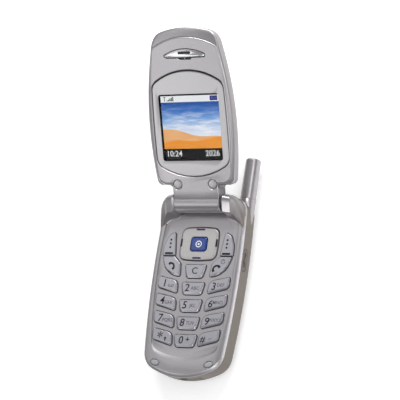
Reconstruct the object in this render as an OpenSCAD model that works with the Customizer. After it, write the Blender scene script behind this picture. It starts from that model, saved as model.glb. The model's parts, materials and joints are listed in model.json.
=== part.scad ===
// Folding pocket telephone, lying open on its battery with the lid raised.
// +X right, +Y from the keypad to the hinge, +Z out of the keypad. The origin is the
// centre of the flat battery face. Both halves are drawn in (x, v): v is the distance
// from the hinge axis towards the free end of that half.

/* [Overall] */
// Width of the lower half at its widest
base_w = 43.6; // [42:0.2:53]
// Hinge axis to the free end of the lower half
base_len = 77.7; // [75:0.1:94]
// Thickness of the lower half, battery face to keypad face
base_t = 12.6; // [12.2:0.1:15.4]
// Width of the lid at its widest
lid_w = 42.4; // [41:0.2:52]
// Hinge axis to the tip of the lid
lid_len = 78.5; // [77:0.1:94]
// Thickness of the lid
lid_t = 7.2; // [6.8:0.1:9]
// Gap between the two faces when the lid is shut
shut_gap = 0.8; // [0.7:0.05:1.2]
// Angle from shut to open
open_angle = 152.8; // [140:0.1:165]

/* [Hinge] */
// Diameter of the barrel between the ears
barrel_d = 8.4; // [7.6:0.1:10]
// Width of the barrel and of the lid's neck
barrel_w = 22.6; // [20:0.2:27.2]
// Height of the lid's inner face over the hinge axis
face_rise = 3.5; // [3:0.1:3.8]
// Gap between a moving face and its neighbour at the hinge
hinge_gap = 0.35; // [0.25:0.05:0.5]
// Radius of the cam cartridge
cartridge_r = 2.7; // [2.2:0.05:3]
// Length of the cam cartridge's body
cartridge_len = 11.0; // [9:0.5:12]
// Radius of the cartridge's turning head
cam_r = 2.2; // [1.8:0.05:2.5]
// Outer radius of the hollow bush that carries the flat cable
bush_r = 2.2; // [1.9:0.05:2.5]
// Running clearance of the hinge pieces
run_fit = 0.05; // [0.02:0.01:0.1]

/* [Walls] */
// Wall of the rear housing
wall = 1.4; // [1.1:0.1:1.6]
// Wall of the lid's outer cover
lid_wall = 1.0; // [0.8:0.1:1.2]
// Height of the front housing's edge over the seam
rim_t = 1.5; // [1.3:0.1:1.8]
// Depth of the keypad deck below the rim
deck_drop = 0.4; // [0.3:0.05:0.6]
// Width of the bevel round the keypad face
bevel = 1.3; // [0.8:0.1:1.6]
// Height of the bevel round the keypad face and the lid's inner face
bevel_t = 0.9; // [0.6:0.1:1.1]
// Inward depth of the rear edge's rounding
round_in = 6.0; // [4:0.5:6.5]
// Height of the rear edge's rounding
round_up = 4.8; // [3:0.2:5]

/* [Keys] */
// Distance from one row of number keys to the next
row_pitch = 7.9; // [7.7:0.05:8.5]
// Hinge axis to the upper edge of the outer keys in the first row
row_start = 32.4; // [32.4:0.1:34]
// Gap round each key
key_gap = 0.22; // [0.15:0.01:0.3]
// Height of the key tops over the rim
key_rise = 0.45; // [0.3:0.05:0.5]
// Travel of a key
key_travel = 0.35; // [0.2:0.05:0.4]
// Tilt of the navigation plate to each side in degrees
nav_tilt = 1.4; // [1:0.1:1.6]
// Depth of the navigation plate's top below the key tops
nav_drop = 0.15; // [0:0.05:0.3]
// Hinge axis to the middle of the navigation plate
nav_v = 17.4; // [17:0.1:17.8]

/* [Battery and board] */
// Width of the battery pack
battery_w = 33; // [27.5:0.5:34]
// Length of the battery pack
battery_len = 60; // [50:1:62]
// Thickness of the battery pack
battery_t = 4.9; // [4:0.1:5]
// Gap between the battery pack and its bay
bay_gap = 0.2; // [0.1:0.05:0.3]
// Thickness of the bay's ceiling
bay_t = 0.7; // [0.6:0.1:0.9]
// Hinge axis to the middle of the battery
battery_v = 40; // [40:0.5:44]
// Thickness of the main board
board_t = 0.8; // [0.6:0.1:1]

/* [Display] */
// Width of the clear window over the main display
window_w = 30; // [26:0.5:31]
// Length of the clear window over the main display
window_len = 29.7; // [26:0.1:31]
// Hinge axis to the lower edge of the window
window_v = 19.6; // [19:0.1:20.5]
// Thickness of the display lens
lens_t = 0.9; // [0.7:0.1:1]

/* [Antenna] */
// Radius of the antenna stub at its seam
antenna_r = 3.6; // [3:0.1:3.8]
// Length of the antenna stub outside the housing
antenna_len = 18.8; // [14:0.2:24]

/* [Headset jack] */
// Radius of the bore for the 2.5 mm plug
jack_r = 1.27; // [1.25:0.01:1.35]
// Depth of the bore
jack_len = 8; // [7:0.5:9]
// Hinge axis to the middle of the jack
jack_v = 23.6; // [22:0.1:25]

/* [Hidden] */
$fn = 48;

silver = "#b9b7bd";
taupe = "#8d8580";
key_silver = "#a9a8b0";
dark = "#26262b";

// Where the two halves meet
half_w = base_w / 2;
barrel_r = barrel_d / 2;
hinge_y = battery_v;
hinge_z = base_t + shut_gap + face_rise;
lid_lift = 180 - open_angle;
seam_z = base_t - rim_t;
deck_z = base_t - deck_drop;
ear_x = barrel_w / 2 + hinge_gap;
hinge_end = -(barrel_r + 0.1);
over = 1; // cuts run this far past a face

// Plan shapes: [half width, side radius, v of the widest point,
//               end v, end crown, end corner, foot v, foot crown, foot corner]
flat = 2000;
base_plan = [half_w, 420, 28, base_len, 34, 9, hinge_end, flat, 7];
lid_plan = [lid_w / 2, 155, 34.5, lid_len, 42, 7, 8.6, flat, 2.5];
board_plan = [half_w, 420, 28, base_len, 34, 9, 5.2, flat, 7];
deck_plan = [half_w - 2.5, 240, 28, base_len - 7.1, 32, 5, -12, flat, 2];
brow_plan = [lid_w / 2 - bevel * 1.2, 200, 34.5, lid_len - 3.9, 31, 3, 9.2, flat, 3];
hood_plan = [lid_w / 2 - bevel * 0.4, 165, 34.5, lid_len - 1.2, 38, 6, 8.8, flat, 2.8];
window_end = window_v + window_len;
lens_plan = [18, 420, 31, window_end + 10.4, 31, 4, window_v - 6.7, 29, 3];
nav_plan = [9.3, 60, nav_v, nav_v + 7.5, 60, 2.8, nav_v - 7.5, 60, 2.8];

function polar(r, a) = r * [cos(a), sin(a)];
function heading(p) = atan2(p[1], p[0]);
function arc(c, r, a, b, n) = [for (i = [1:n]) c + polar(r, a + (b - a) * i / n)];

// Centre of the corner that touches the side arc (about c) and the crown arc (about d)
function corner_at(c, rc, d, rd, side) =
    let (e = d - c, l = norm(e), u = e / l, a = (rc * rc - rd * rd + l * l) / (2 * l),
         h = sqrt(rc * rc - a * a))
    c + a * u + side * h * [-u[1], u[0]];

// Closed outline of a plan shape, drawn in by `inset`, from five arcs a side
function outline(s, inset = 0) =
    let (side = [s[0] - s[1], s[2]],
         top = [0, s[3] - s[4]],
         bottom = [0, s[6] + s[7]],
         k = corner_at(side, s[1] - s[5], top, s[4] - s[5], 1),
         f = corner_at(side, s[1] - s[8], bottom, s[7] - s[8], -1),
         right = concat(
             [[0, s[6] + inset]], arc(bottom, s[7] - inset, -90, heading(f - bottom), 2),
             arc(f, s[8] - inset, heading(f - bottom), heading(f - side), 5),
             arc(side, s[1] - inset, heading(f - side), heading(k - side), 5),
             arc(k, s[5] - inset, heading(k - side), heading(k - top), 5),
             arc(top, s[4] - inset, heading(k - top), 90, 5)))
    concat(right, [for (i = [len(right) - 2:-1:1]) [-right[i][0], right[i][1]]]);

// Half width of a plan shape at a distance v from the hinge
function half_at(s, v) = s[0] - s[1] + sqrt(s[1] * s[1] - (v - s[2]) * (v - s[2]));

function unit(p) = p / norm(p);

// A convex polygon's corner b, moved out by `grow` and rounded to radius r + grow
function soft_corner(a, b, c, r, grow) =
    let (u = unit(a - b), w = unit(c - b), half = acos(u * w) / 2,
         m = b + unit(u + w) * r / sin(half),
         p = heading(b + u * r / tan(half) - m), q = heading(b + w * r / tan(half) - m),
         turn = q - p > 180 ? q - p - 360 : q - p < -180 ? q - p + 360 : q - p)
    [for (i = [0:4]) m + polar(r + grow, p + turn * i / 4)];
function soft(points, radii, grow = 0) =
    let (n = len(points))
    [for (i = [0:n - 1])
        each soft_corner(points[(i + n - 1) % n], points[i], points[(i + 1) % n], radii[i], grow)];
function flip_x(points) = [for (p = points) [-p[0], p[1]]];

// Placing
module in_base() translate([0, hinge_y, 0]) mirror([0, 1, 0]) children();
module in_lid() translate([0, hinge_y, hinge_z]) rotate([lid_lift, 0, 0]) children();
module slab(points, z0, z1) translate([0, 0, z0]) linear_extrude(z1 - z0) polygon(points);
module block(x0, x1, v0, v1, z0, z1) translate([x0, v0, z0]) cube([x1 - x0, v1 - v0, z1 - z0]);
module post(x, v, r, z0, z1) translate([x, v, z0]) cylinder(r = r, h = z1 - z0);
module rod_x(r, x0, x1, v = 0, z = 0)
    translate([x0, v, z]) rotate([0, 90, 0]) cylinder(r = r, h = x1 - x0);
module pair(x) for (s = [-1, 1]) translate([s * x, 0, 0]) children();
module both() { children(); mirror([1, 0, 0]) children(); }

// A closed solid through rings, each [points, z], from the lowest up
module loft(rings) {
    n = len(rings[0][0]);
    top = len(rings) - 1;
    points = [for (r = rings) each [for (p = r[0]) [p[0], p[1], r[1]]]];
    sides = [for (i = [0:top - 1]) for (j = [0:n - 1])
        let (a = i * n + j, b = i * n + (j + 1) % n)
        each [[a, a + n, b + n], [a, b + n, b]]];
    polyhedron(points, concat(sides, [[for (j = [0:n - 1]) j], [for (j = [n - 1:-1:0]) top * n + j]]));
}

// A plan shape whose lower edge is rounded all round, from z0 up to z1
module pillow(s, inset, z0, z1, rin, rup) {
    steps = 4;
    loft(concat([for (i = [0:steps]) let (a = 90 * i / steps)
        [outline(s, inset + rin * (1 - sin(a))), z0 + rup * (1 - cos(a))]], [[outline(s, inset), z1]]));
}

// ---- Lower half ----

module base_body(inset, z1) pillow(base_plan, inset, inset, z1, round_in - inset, round_up - inset);

// Heights inside the lower half
bay_z = battery_t + 0.3;
bay_top = bay_z + bay_t;
board_z = seam_z - 3.0;
board_top = board_z + board_t;
dome_top = board_top + 0.3;
mat_z = board_top + 0.7;
mat_top = mat_z + 0.4;
flange_z = mat_top + key_travel + 0.1;
flange_top = seam_z - 0.2;
key_top = base_t + key_rise;
plunger_z = dome_top + key_travel + 0.05;
board_inset = wall + 0.4;

// Screws of the lower half: [x, v]
screw_top_x = 11;
screw_low_x = 10.4;
screw_top_v = 4.6;
screw_low_v = base_len - 5.3;
screws = [[-screw_top_x, screw_top_v], [screw_top_x, screw_top_v],
    [-screw_low_x, screw_low_v], [screw_low_x, screw_low_v]];
screw_r = 0.7;
head_r = 1.5;
head_t = 1.1;
screw_head_z = 1.6;
boss_r = 1.9;
boss_z = board_z - 0.2;

// Antenna, beside the board
antenna_x = half_w - 4.05;
antenna_z = base_t / 2;
antenna_seam = hinge_end - 0.6;
boss_len = 13;
antenna_boss_r = antenna_r + 0.1;
bush_out_r = 2.6;
stud_r = 1.8;
stud_len = 9;

// Side features
jack_x = half_at(base_plan, jack_v);
jack_z = base_t - 4.2;
jack_body_w = 5.2;
jack_body_h = 2.9;
cover_len = 10;
cover_h = 3.8;
cover_z = base_t - 3.7;
cover_t = 0.8;
volume_v = 23;
volume_x = half_at(base_plan, volume_v);
volume_len = 14;
volume_h = 3.2;
volume_z = base_t - 5.1;
volume_proud = 0.7;
volume_pin_r = 0.45;
volume_pin = 2.9;

// Charger port at the free end
port_w = 14;
port_h = 2.8;
port_z = board_z - port_h;
port_cover_w = port_w + 2.4;
port_cover_z = port_z - 1.0;
port_cover_top = board_z + 0.6;
port_cover_t = 0.8;

// Battery catch between the battery and the hinge
battery_top_v = battery_v - battery_len / 2;
contact_pitch = 4;
sim_w = 17;
sim_len = 14;
sim_v = battery_v + 9;
sim_wall = 1.5;
latch_w = 11;
latch_len = 4;
latch_travel = 1.2;
latch_z = 0.5;
latch_t = 1.4;

// Sound slots of the ringer in the hinge end
sound_pitch = 4;
sound_w = 2.4;
sound_h = 0.8;
sound_z = 5;

// Tail of the flat cable, beside the hinge bush: it takes its width from the room to the wall
tail_x = ear_x + 3.3;
tail_room = half_w - wall - tail_x;
tail_w = tail_room * 0.31;

// Bumpers on the chin
bumper_x = 13.4;
bumper_v = base_len - 6;
bumper_r = 1.5;

// Number keys: the outer keys lean up and out, the middle keys taper down
function outer_x(row) = 17.9 - 0.09 * row - 0.114 * row * row;
function inner_x(row) = 7.5 - 0.38 * row;
function row_v(row) = row_start + row * row_pitch;
function right_key(row) = [[outer_x(row), row_v(row)], [inner_x(row) + 0.5, row_v(row) + 2],
    [inner_x(row), row_v(row) + 7.8], [outer_x(row), row_v(row) + 5.1]];
right_radii = [0.8, 3.2, 0.8, 2.2];
function middle_key(row) = [[5.8, row_v(row) + 2.7], [-5.8, row_v(row) + 2.7],
    [-4.7, row_v(row) + 8.3], [4.7, row_v(row) + 8.3]];
middle_radii = [0.9, 0.9, 1.7, 1.7];
clear_shape = [[5.4, 27], [-5.4, 27], [-4, 33.1], [4, 33.1]];
clear_radii = [0.9, 0.9, 1.6, 1.6];
split_v = 23.1;
split_gap = 0.2;
soft_shape = [[12.6, 12.1], [11.2, split_v - split_gap], [17.7, split_v - split_gap], [17.6, 18.2],
    [15.6, 13.3]];
soft_radii = [0.7, 0.7, 0.6, 3.5, 3];
call_shape = [[11.3, split_v + split_gap], [7.9, 26.6], [7.3, 32.4], [11.4, 31.8], [15.4, 28.8],
    [17.5, split_v + split_gap]];
call_radii = [0.7, 1.4, 0.7, 4, 3.5, 0.6];
select_shape = [[4, nav_v - 2.9], [-4, nav_v - 2.9], [-4, nav_v + 3.3], [4, nav_v + 3.3]];
select_radii = [1.2, 1.2, 1.2, 1.2];
plunger_r = 1.3;
flange = 0.45;

function centre(points) =
    [for (k = [0, 1]) let (q = [for (p = points) p[k]]) (min(q) + max(q)) / 2];

// Every window in the deck, grown by the key gap
function key_shapes() = concat(
    [for (row = [0:3]) each [soft(right_key(row), right_radii, key_gap),
        flip_x(soft(right_key(row), right_radii, key_gap)),
        soft(middle_key(row), middle_radii, key_gap)]],
    [soft(clear_shape, clear_radii, key_gap), soft(soft_shape, soft_radii, key_gap),
        flip_x(soft(soft_shape, soft_radii, key_gap)), soft(call_shape, call_radii, key_gap),
        flip_x(soft(call_shape, call_radii, key_gap))]);

// v0 and v1 cut the flange short where two keys share one window
module key(points, radii, left = false, v0 = 0, v1 = base_len) {
    c = centre(points);
    color(key_silver) in_base() mirror([left ? 1 : 0, 0, 0]) {
        slab(soft(points, radii), flange_z, key_top);
        intersection() {
            slab(soft(points, radii, flange), flange_z, flange_top);
            block(-half_w, half_w, v0, v1, 0, base_t);
        }
        post(c[0], c[1], plunger_r, plunger_z, flange_z);
    }
}

// An ear in the plane across the hinge, and its hollow front where it meets the deck
ear_fillet = 4.4;
ear_round = 5.2;
module ear_side() {
    difference() {
        union() {
            translate([0, hinge_z]) circle(r = barrel_r);
            translate([-barrel_r, seam_z]) square([2 * barrel_r + ear_fillet, hinge_z - seam_z]);
        }
        translate([barrel_r + ear_fillet, base_t + ear_fillet]) circle(r = ear_fillet);
        translate([barrel_r, base_t + ear_fillet]) square([ear_fillet + over, ear_fillet]);
    }
}
module ear() {
    intersection() {
        translate([ear_x, 0, 0]) rotate([90, 0, 90]) linear_extrude(half_w) ear_side();
        slab(outline(base_plan, bevel / 2), seam_z, hinge_z + barrel_r);
        translate([0, -base_len / 2, 0]) rotate([-90, 0, 0]) linear_extrude(base_len) mirror([0, 1]) {
            translate([0, seam_z]) square([half_w, hinge_z + barrel_r - ear_round - seam_z]);
            translate([0, hinge_z]) square([half_w - ear_round, barrel_r]);
            translate([half_w - ear_round, hinge_z + barrel_r - ear_round]) circle(r = ear_round);
        }
    }
}

module front_rim() {
    loft([[outline(base_plan), seam_z], [outline(base_plan), base_t - bevel_t],
        [outline(base_plan, bevel), base_t]]);
    difference() {
        slab(outline(base_plan, wall + 0.1), seam_z - 1.6, seam_z);
        slab(outline(base_plan, wall + 0.9), seam_z - 1.6 - over, seam_z + over);
        block(jack_x - jack_len - 2, half_w, jack_v - 6, jack_v + 6, 0, seam_z);
        volume_room(4, 2);
        translate([antenna_x, hinge_end - over, antenna_z]) rotate([-90, 0, 0])
            cylinder(r = antenna_boss_r + 0.2, h = boss_len + 5);
        block(-half_w, half_w, hinge_end, 2, 0, seam_z);
    }
}

module front_housing() color(silver) in_base() difference() {
    union() {
        front_rim();
        both() ear();
        for (s = screws) post(s[0], s[1], boss_r, boss_z + 0.1, seam_z);
    }
    slab(outline(deck_plan), deck_z, base_t + over);
    rod_x(barrel_r + hinge_gap, -ear_x, ear_x, 0, hinge_z);
    for (k = key_shapes()) slab(k, seam_z - over, base_t + over);
    slab(outline(nav_plan, -key_gap), seam_z - over, base_t + over);
    rod_x(cam_r + run_fit, ear_x - over, ear_x + 3.3, 0, hinge_z);
    rod_x(bush_r + 0.02, -ear_x - 3.1, -ear_x + over, 0, hinge_z);
    block(-tail_x - tail_w - 0.4, -tail_x + 0.3, -1.4, 1.4, seam_z - over, hinge_z + 1.4);
    for (s = screws) post(s[0], s[1], screw_r + 0.02, boss_z - over, deck_z - 0.4);
    pair(bumper_x) post(0, bumper_v, bumper_r + 0.02, base_t - 0.7, base_t + over);
}

module rear_housing() color(taupe) in_base() difference() {
    union() {
        difference() {
            base_body(0, seam_z);
            base_body(wall, seam_z + over);
        }
        intersection() {
            base_body(0, seam_z);
            block(-battery_w / 2 - 1.2, battery_w / 2 + 1.2, battery_top_v - 1.2,
                battery_v + battery_len / 2 + 1.2, 0, bay_top);
        }
        intersection() {
            base_body(0, seam_z);
            block(-latch_w / 2 - 1, latch_w / 2 + 1, hinge_end, battery_top_v, 0, latch_z + latch_t + 1);
        }
        for (s = screws) intersection() {
            base_body(0, seam_z);
            post(s[0], s[1], boss_r + 0.3, 0, boss_z);
        }
        translate([antenna_x, antenna_seam, antenna_z]) rotate([-90, 0, 0])
            cylinder(r = antenna_boss_r, h = boss_len);
    }
    block(-battery_w / 2 - bay_gap, battery_w / 2 + bay_gap, battery_top_v - bay_gap,
        battery_v + battery_len / 2 + bay_gap, -over, bay_z);
    // windows in the bay's ceiling for the contacts and the card
    block(-contact_pitch - 2, contact_pitch + 2, battery_top_v + 1.5, battery_top_v + 4.5,
        bay_z - over, bay_top + over);
    block(-sim_w / 2 - 0.5, sim_w / 2 + 0.5, sim_v - 1, sim_v + sim_len + 1, bay_z - over, bay_top + over);
    // battery catch
    block(-latch_w / 2 - 0.2, latch_w / 2 + 0.2, battery_top_v - 1.7 - latch_len - latch_travel,
        battery_top_v - 1.3, -over, latch_z + latch_t + 0.15);
    block(-latch_w / 4 - 0.2, latch_w / 4 + 0.2, battery_top_v - 2, battery_top_v, latch_z - 0.2,
        latch_z + latch_t + 0.15);
    for (s = screws) {
        post(s[0], s[1], head_r + 0.2, -over, screw_head_z + head_t);
        post(s[0], s[1], screw_r + 0.2, 0, boss_z + over);
    }
    // antenna bush and its way to the board
    translate([antenna_x, antenna_seam - over, antenna_z]) rotate([-90, 0, 0])
        cylinder(r = bush_out_r, h = 11.6 + over);
    // headset jack, its cover's pocket and the board's edge
    rod_x(jack_r + 0.1, jack_x - wall - over, jack_x + over, jack_v, jack_z);
    slot_x(cover_len + 0.4, cover_h + 0.3, jack_x - cover_t - 0.05, jack_x + over, jack_v, cover_z);
    slot_x(volume_len + 0.5, volume_h + 0.5, -volume_x - over, -volume_x + wall + over,
        volume_v, volume_z);
    // charger port and its cover's pocket
    block(-port_w / 2 - 0.2, port_w / 2 + 0.2, base_len - 8, base_len + over, port_z - 0.2, board_z + 0.2);
    difference() {
        block(-port_cover_w / 2 - 0.2, port_cover_w / 2 + 0.2, base_len - 5, base_len + over,
            port_cover_z - 0.2, port_cover_top + 0.35);
        slab(outline(base_plan, port_cover_t + 0.05), 0, base_t);
    }
    // sound slots of the ringer in the hinge end
    for (x = sound_pitch * [-1, 0, 1]) block(x - sound_w / 2, x + sound_w / 2, hinge_end - over,
        hinge_end + wall + over, sound_z, sound_z + sound_h);
}

// Room for the headset jack and the volume key in the pieces round them
module jack_room()
    block(jack_x - wall - jack_len - 0.9, half_w, jack_v - jack_body_w / 2 - 0.3,
        jack_v + jack_body_w / 2 + 0.3, 0, seam_z);
module volume_room(deep, side)
    block(-half_w, -volume_x + deep, volume_v - volume_len / 2 - side,
        volume_v + volume_len / 2 + side, 0, seam_z);

// A slot or button with round ends, pointing along X
module slot_x(length, height, x0, x1, v, z) {
    for (s = [-1, 1]) rod_x(height / 2, x0, x1, v + s * (length - height) / 2, z);
    block(x0, x1, v - (length - height) / 2, v + (length - height) / 2, z - height / 2, z + height / 2);
}

module main_board() color("#2f5d3a") in_base() difference() {
    slab(outline(board_plan, board_inset), board_z, board_top);
    for (s = screws) post(s[0], s[1], boss_r + 0.5, 0, base_t);
    jack_room();
    volume_room(3.6, 1.4);
    translate([antenna_x, 0, antenna_z]) rotate([-90, 0, 0])
        cylinder(r = antenna_boss_r + 0.3, h = boss_len);
}

// Each can: [x0, x1, v0, v1]
cans = [[-15, -1, 18, 34], [1, 11, 18, 34], [-15, 15, 36, 46]];
can_gap = 0.2;
module shield_cans() color("#c9ccd0") in_base()
    for (c = cans) block(c[0], c[1], c[2], c[3], bay_top + can_gap, board_z);

module dome_sheet() color("#d8d8cf") in_base() {
    slab(outline(nav_plan, -1), board_top, board_top + 0.1);
    block(-18, 18, 26.5, 64.6, board_top, board_top + 0.1);
    for (row = [0:3]) for (k = [right_key(row), flip_x(right_key(row)), middle_key(row)])
        post(centre(k)[0], centre(k)[1], 2, board_top, dome_top);
}

module key_mat() color("#8f9298") in_base() difference() {
    slab(outline(deck_plan, 0.2), mat_z, mat_top);
    block(-half_w, half_w, -20, 11, 0, base_t);
    slab(outline(nav_plan, -1), 0, base_t);
    for (row = [0:3]) for (k = [right_key(row), flip_x(right_key(row)), middle_key(row)])
        post(centre(k)[0], centre(k)[1], plunger_r + 0.2, 0, base_t);
    for (k = [clear_shape, soft_shape, flip_x(soft_shape), call_shape, flip_x(call_shape)])
        post(centre(k)[0], centre(k)[1], plunger_r + 0.2, 0, base_t);
    jack_room();
}

mic_v = base_len - 5.2;
mic_r = 2;
mic_t = 1.4;
module microphone() color(dark) in_base() {
    post(0, mic_v, mic_r, board_top, board_top + mic_t);
    post(0, mic_v, mic_r / 4, board_top + mic_t, seam_z - 0.1);
}

ringer_r = 5.3;
ringer_v = 3.2;
ringer_z = latch_z + latch_t + 1.2;
ringer_t = 2.6;
ringer_magnet_t = 0.8;
module ringer_speaker() color(dark) in_base() {
    post(0, ringer_v, ringer_r, ringer_z, ringer_z + ringer_t);
    post(0, ringer_v, ringer_r - 2.4, ringer_z + ringer_t, ringer_z + ringer_t + ringer_magnet_t);
}

module sim_holder() color("#c4b48a") in_base() difference() {
    block(-sim_w / 2, sim_w / 2, sim_v, sim_v + sim_len, bay_top - 0.4, board_z);
    block(-sim_w / 2 + sim_wall, sim_w / 2 - sim_wall, sim_v - over, sim_v + sim_len - sim_wall,
        bay_top + 0.2, bay_top + 1.1);
}

module battery_contacts() color("gold") in_base()
    for (x = contact_pitch * [-1, 0, 1]) {
        block(x - 0.8, x + 0.8, battery_top_v + 2, battery_top_v + 4, battery_t + 0.1, board_z);
        block(x - 1.2, x + 1.2, battery_top_v + 2, battery_top_v + 5.5, bay_top + 0.2, board_z);
    }

module antenna_bush() color("#b8973f") in_base() difference() {
    translate([antenna_x, antenna_seam + 0.4, antenna_z]) rotate([-90, 0, 0])
        cylinder(r = bush_out_r - 0.02, h = 11);
    translate([antenna_x, antenna_seam - over, antenna_z]) rotate([-90, 0, 0])
        cylinder(r = stud_r + 0.03, h = 10.4 + over);
}

// The stub tapers a little and ends in a dome
tip_round = 2;
module antenna() color(silver) in_base()
translate([antenna_x, antenna_seam, antenna_z]) rotate([90, 0, 0]) {
    rotate_extrude() polygon(concat([[0, 0.1], [antenna_r, 0.1]],
        arc([antenna_r - 0.25 - tip_round, antenna_len - tip_round], tip_round, -1, 84, 6),
        [[0, antenna_len]]));
    translate([0, 0, -stud_len]) cylinder(r = stud_r, h = stud_len + 0.5);
}

module system_connector() color(dark) in_base() difference() {
    block(-port_w / 2, port_w / 2, base_len - 7.5, base_len - 1.9, port_z, board_z);
    block(-port_w / 2 + 0.8, port_w / 2 - 0.8, base_len - 5.5, base_len, port_z + 0.6, board_z - 0.6);
}

module headset_jack() color(dark) in_base() difference() {
    block(jack_x - wall - jack_len - 0.6, jack_x - wall - 0.1, jack_v - jack_body_w / 2,
        jack_v + jack_body_w / 2, jack_z - jack_body_h / 2, jack_z + jack_body_h / 2);
    rod_x(jack_r, jack_x - wall - jack_len - 0.1, jack_x + over, jack_v, jack_z);
}

module hinge_bush() color("#9aa0a6") in_base() difference() {
    rod_x(bush_r, -ear_x - 3, -ear_x + hinge_gap + 3.6, 0, hinge_z);
    rod_x(bush_r - 0.7, -ear_x - 3 - over, -ear_x + hinge_gap + 3.6 + over, 0, hinge_z);
}

module flex_tail() color("#b5651d") in_base() {
    block(-tail_x - tail_w, -tail_x, -1, 1, board_top + 0.6, hinge_z + 1);
    block(-tail_x - tail_w, -tail_x, -1, 9, board_top + 0.5, board_top + 0.7);
    block(-tail_x - tail_w - tail_room * 0.18, -tail_x + 0.9, 8, 11, board_top, board_top + 0.5);
}

module chin_bumpers() color("#77757b") in_base() pair(bumper_x)
    post(0, bumper_v, bumper_r, base_t - 0.68, base_t + key_rise);

module housing_screws() color("#55565a") in_base() for (s = screws) {
    post(s[0], s[1], head_r, screw_head_z, screw_head_z + head_t);
    post(s[0], s[1], screw_r, screw_head_z + head_t, seam_z - 0.2);
}

// The rocker turns on a pin that stands out above and below its flange
module volume_key() color(taupe) in_base() {
    inner_x = -volume_x + wall;
    slot_x(volume_len, volume_h, -volume_x - volume_proud, inner_x + 0.65, volume_v, volume_z);
    slot_x(volume_len + 1.2, volume_h + 1.2, inner_x + 0.6, inner_x + 1.2, volume_v, volume_z);
    block(inner_x + 1.2, -volume_x + 3.2, volume_v - 1, volume_v + 1, volume_z - 1, volume_z + 1);
    post(inner_x + 0.85, volume_v, volume_pin_r, volume_z - volume_pin, volume_z + volume_pin);
}

module jack_cover() color("#6f6a68") in_base() {
    slot_x(cover_len, cover_h, jack_x - cover_t, jack_x, jack_v, cover_z);
    slot_x(3, 1.4, jack_x, jack_x + 0.3, jack_v, cover_z);
}

module port_cover() color("#6f6a68") in_base() {
    intersection() {
        block(-port_cover_w / 2, port_cover_w / 2, base_len - 5, base_len, port_cover_z, port_cover_top);
        difference() {
            slab(outline(base_plan), 0, base_t);
            slab(outline(base_plan, port_cover_t), -over, base_t + over);
        }
    }
    block(-1.5, 1.5, base_len - 0.4, base_len + 0.6, port_cover_top - 1.4, port_cover_top - 0.4);
}

module battery_latch() color(taupe) in_base() {
    block(-latch_w / 2, latch_w / 2, battery_top_v - 1.5 - latch_len, battery_top_v - 1.5,
        latch_z, latch_z + latch_t);
    block(-latch_w / 4, latch_w / 4, battery_top_v - 1.5, battery_top_v - 0.2, latch_z + 0.2,
        latch_z + latch_t);
}

// Battery pack: a tray with the cell in it
tray_t = 1.0;
tray_wall = 0.8;
cell_x = battery_w / 2 - tray_wall - 0.1;
cell_v = battery_len / 2 - tray_wall - 0.1;
module battery_cover() color(taupe) in_base() difference() {
    intersection() {
        base_body(0, seam_z);
        block(-battery_w / 2, battery_w / 2, battery_top_v, battery_v + battery_len / 2, -over, battery_t);
    }
    block(-battery_w / 2 + tray_wall, battery_w / 2 - tray_wall, battery_top_v + tray_wall,
        battery_v + battery_len / 2 - tray_wall, tray_t, battery_t + over);
}
module battery_cell() color("#3b4a63") in_base()
    block(-cell_x, cell_x, battery_v - cell_v, battery_v + cell_v, tray_t + 0.05, battery_t);

// ---- Navigation plate ----

rocker_z = mat_top + 0.2;
rocker_top = rocker_z + 0.3;
nav_z = rocker_top + nav_plan[0] * sin(nav_tilt) + 0.12;
ridge_r = nav_z - rocker_top - 0.02;
ridge_len = 5.5;
module nav_key() color("#c5c3c8") in_base() difference() {
    slab(outline(nav_plan), nav_z, key_top - nav_drop);
    slab(soft(select_shape, select_radii, 0.3), nav_z - over, key_top + over);
}
// The rocker tilts on round ridges under its two sides and carries the plate on one along its top
module nav_rocker() color("#8f9298") in_base() difference() {
    union() {
        slab(outline(nav_plan, -0.4), rocker_z, rocker_top);
        translate([0, nav_v - ridge_len, rocker_top]) rotate([-90, 0, 0])
            cylinder(r = ridge_r, h = 2 * ridge_len);
        for (x = [-9, 6]) rod_x(ridge_r, x, x + 3, nav_v, rocker_z);
    }
    slab(soft(select_shape, select_radii, 0.3), rocker_z - over, nav_z + over);
}
module select_key() color("#1c3f94") in_base() {
    slab(soft(select_shape, select_radii), mat_z + 0.35, key_top);
    slab(soft(select_shape, select_radii, 0.5), mat_z - 0.05, mat_z + 0.35);
}

// ---- Lid ----

lid_face = face_rise;
lid_back = face_rise - lid_t;
lid_seam = lid_face - 1.6;
lens_z = lid_face - 0.15 - lens_t;
lid_board_z = lid_seam - 2.9;
lid_board_t = 0.6;
display_z = lid_board_z + lid_board_t + 0.15;
display_top = lid_seam - 0.05;
display_w = window_w + 3;
neck_v = 2.4; // the inner bezel ends here, short of the barrel
cap_x = barrel_w / 2 - 2.5;
cap_v = 9.1;
cap_r = 2.2;
cap_t = 0.8;
trim_v = lid_len - 13.1;
trim_plan = [10, 1.2, trim_v + 0.9, trim_v + 3.6, 22, 0.5, trim_v, flat, 0.5];
slot_w = 6.4;
speaker_v = trim_v + 1.6;
flex_w = 5;
outer_window = [13, 60, 40, 47, 60, 4, 33, 60, 4];

module lid_shell(inset, z1)
    pillow(lid_plan, inset, lid_back + inset, z1, 4.4 - inset, 3.6 - inset);

// Concave shoulders where the lid's cover runs into its neck
shoulder_r = 3.4;
module shoulders() both() difference() {
    block(0, barrel_w / 2 + shoulder_r, 8.8 - shoulder_r, 9.4, lid_back + 1.2, lid_seam);
    post(barrel_w / 2 + shoulder_r, 8.8 - shoulder_r, shoulder_r, lid_back - over, lid_seam + over);
}

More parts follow.
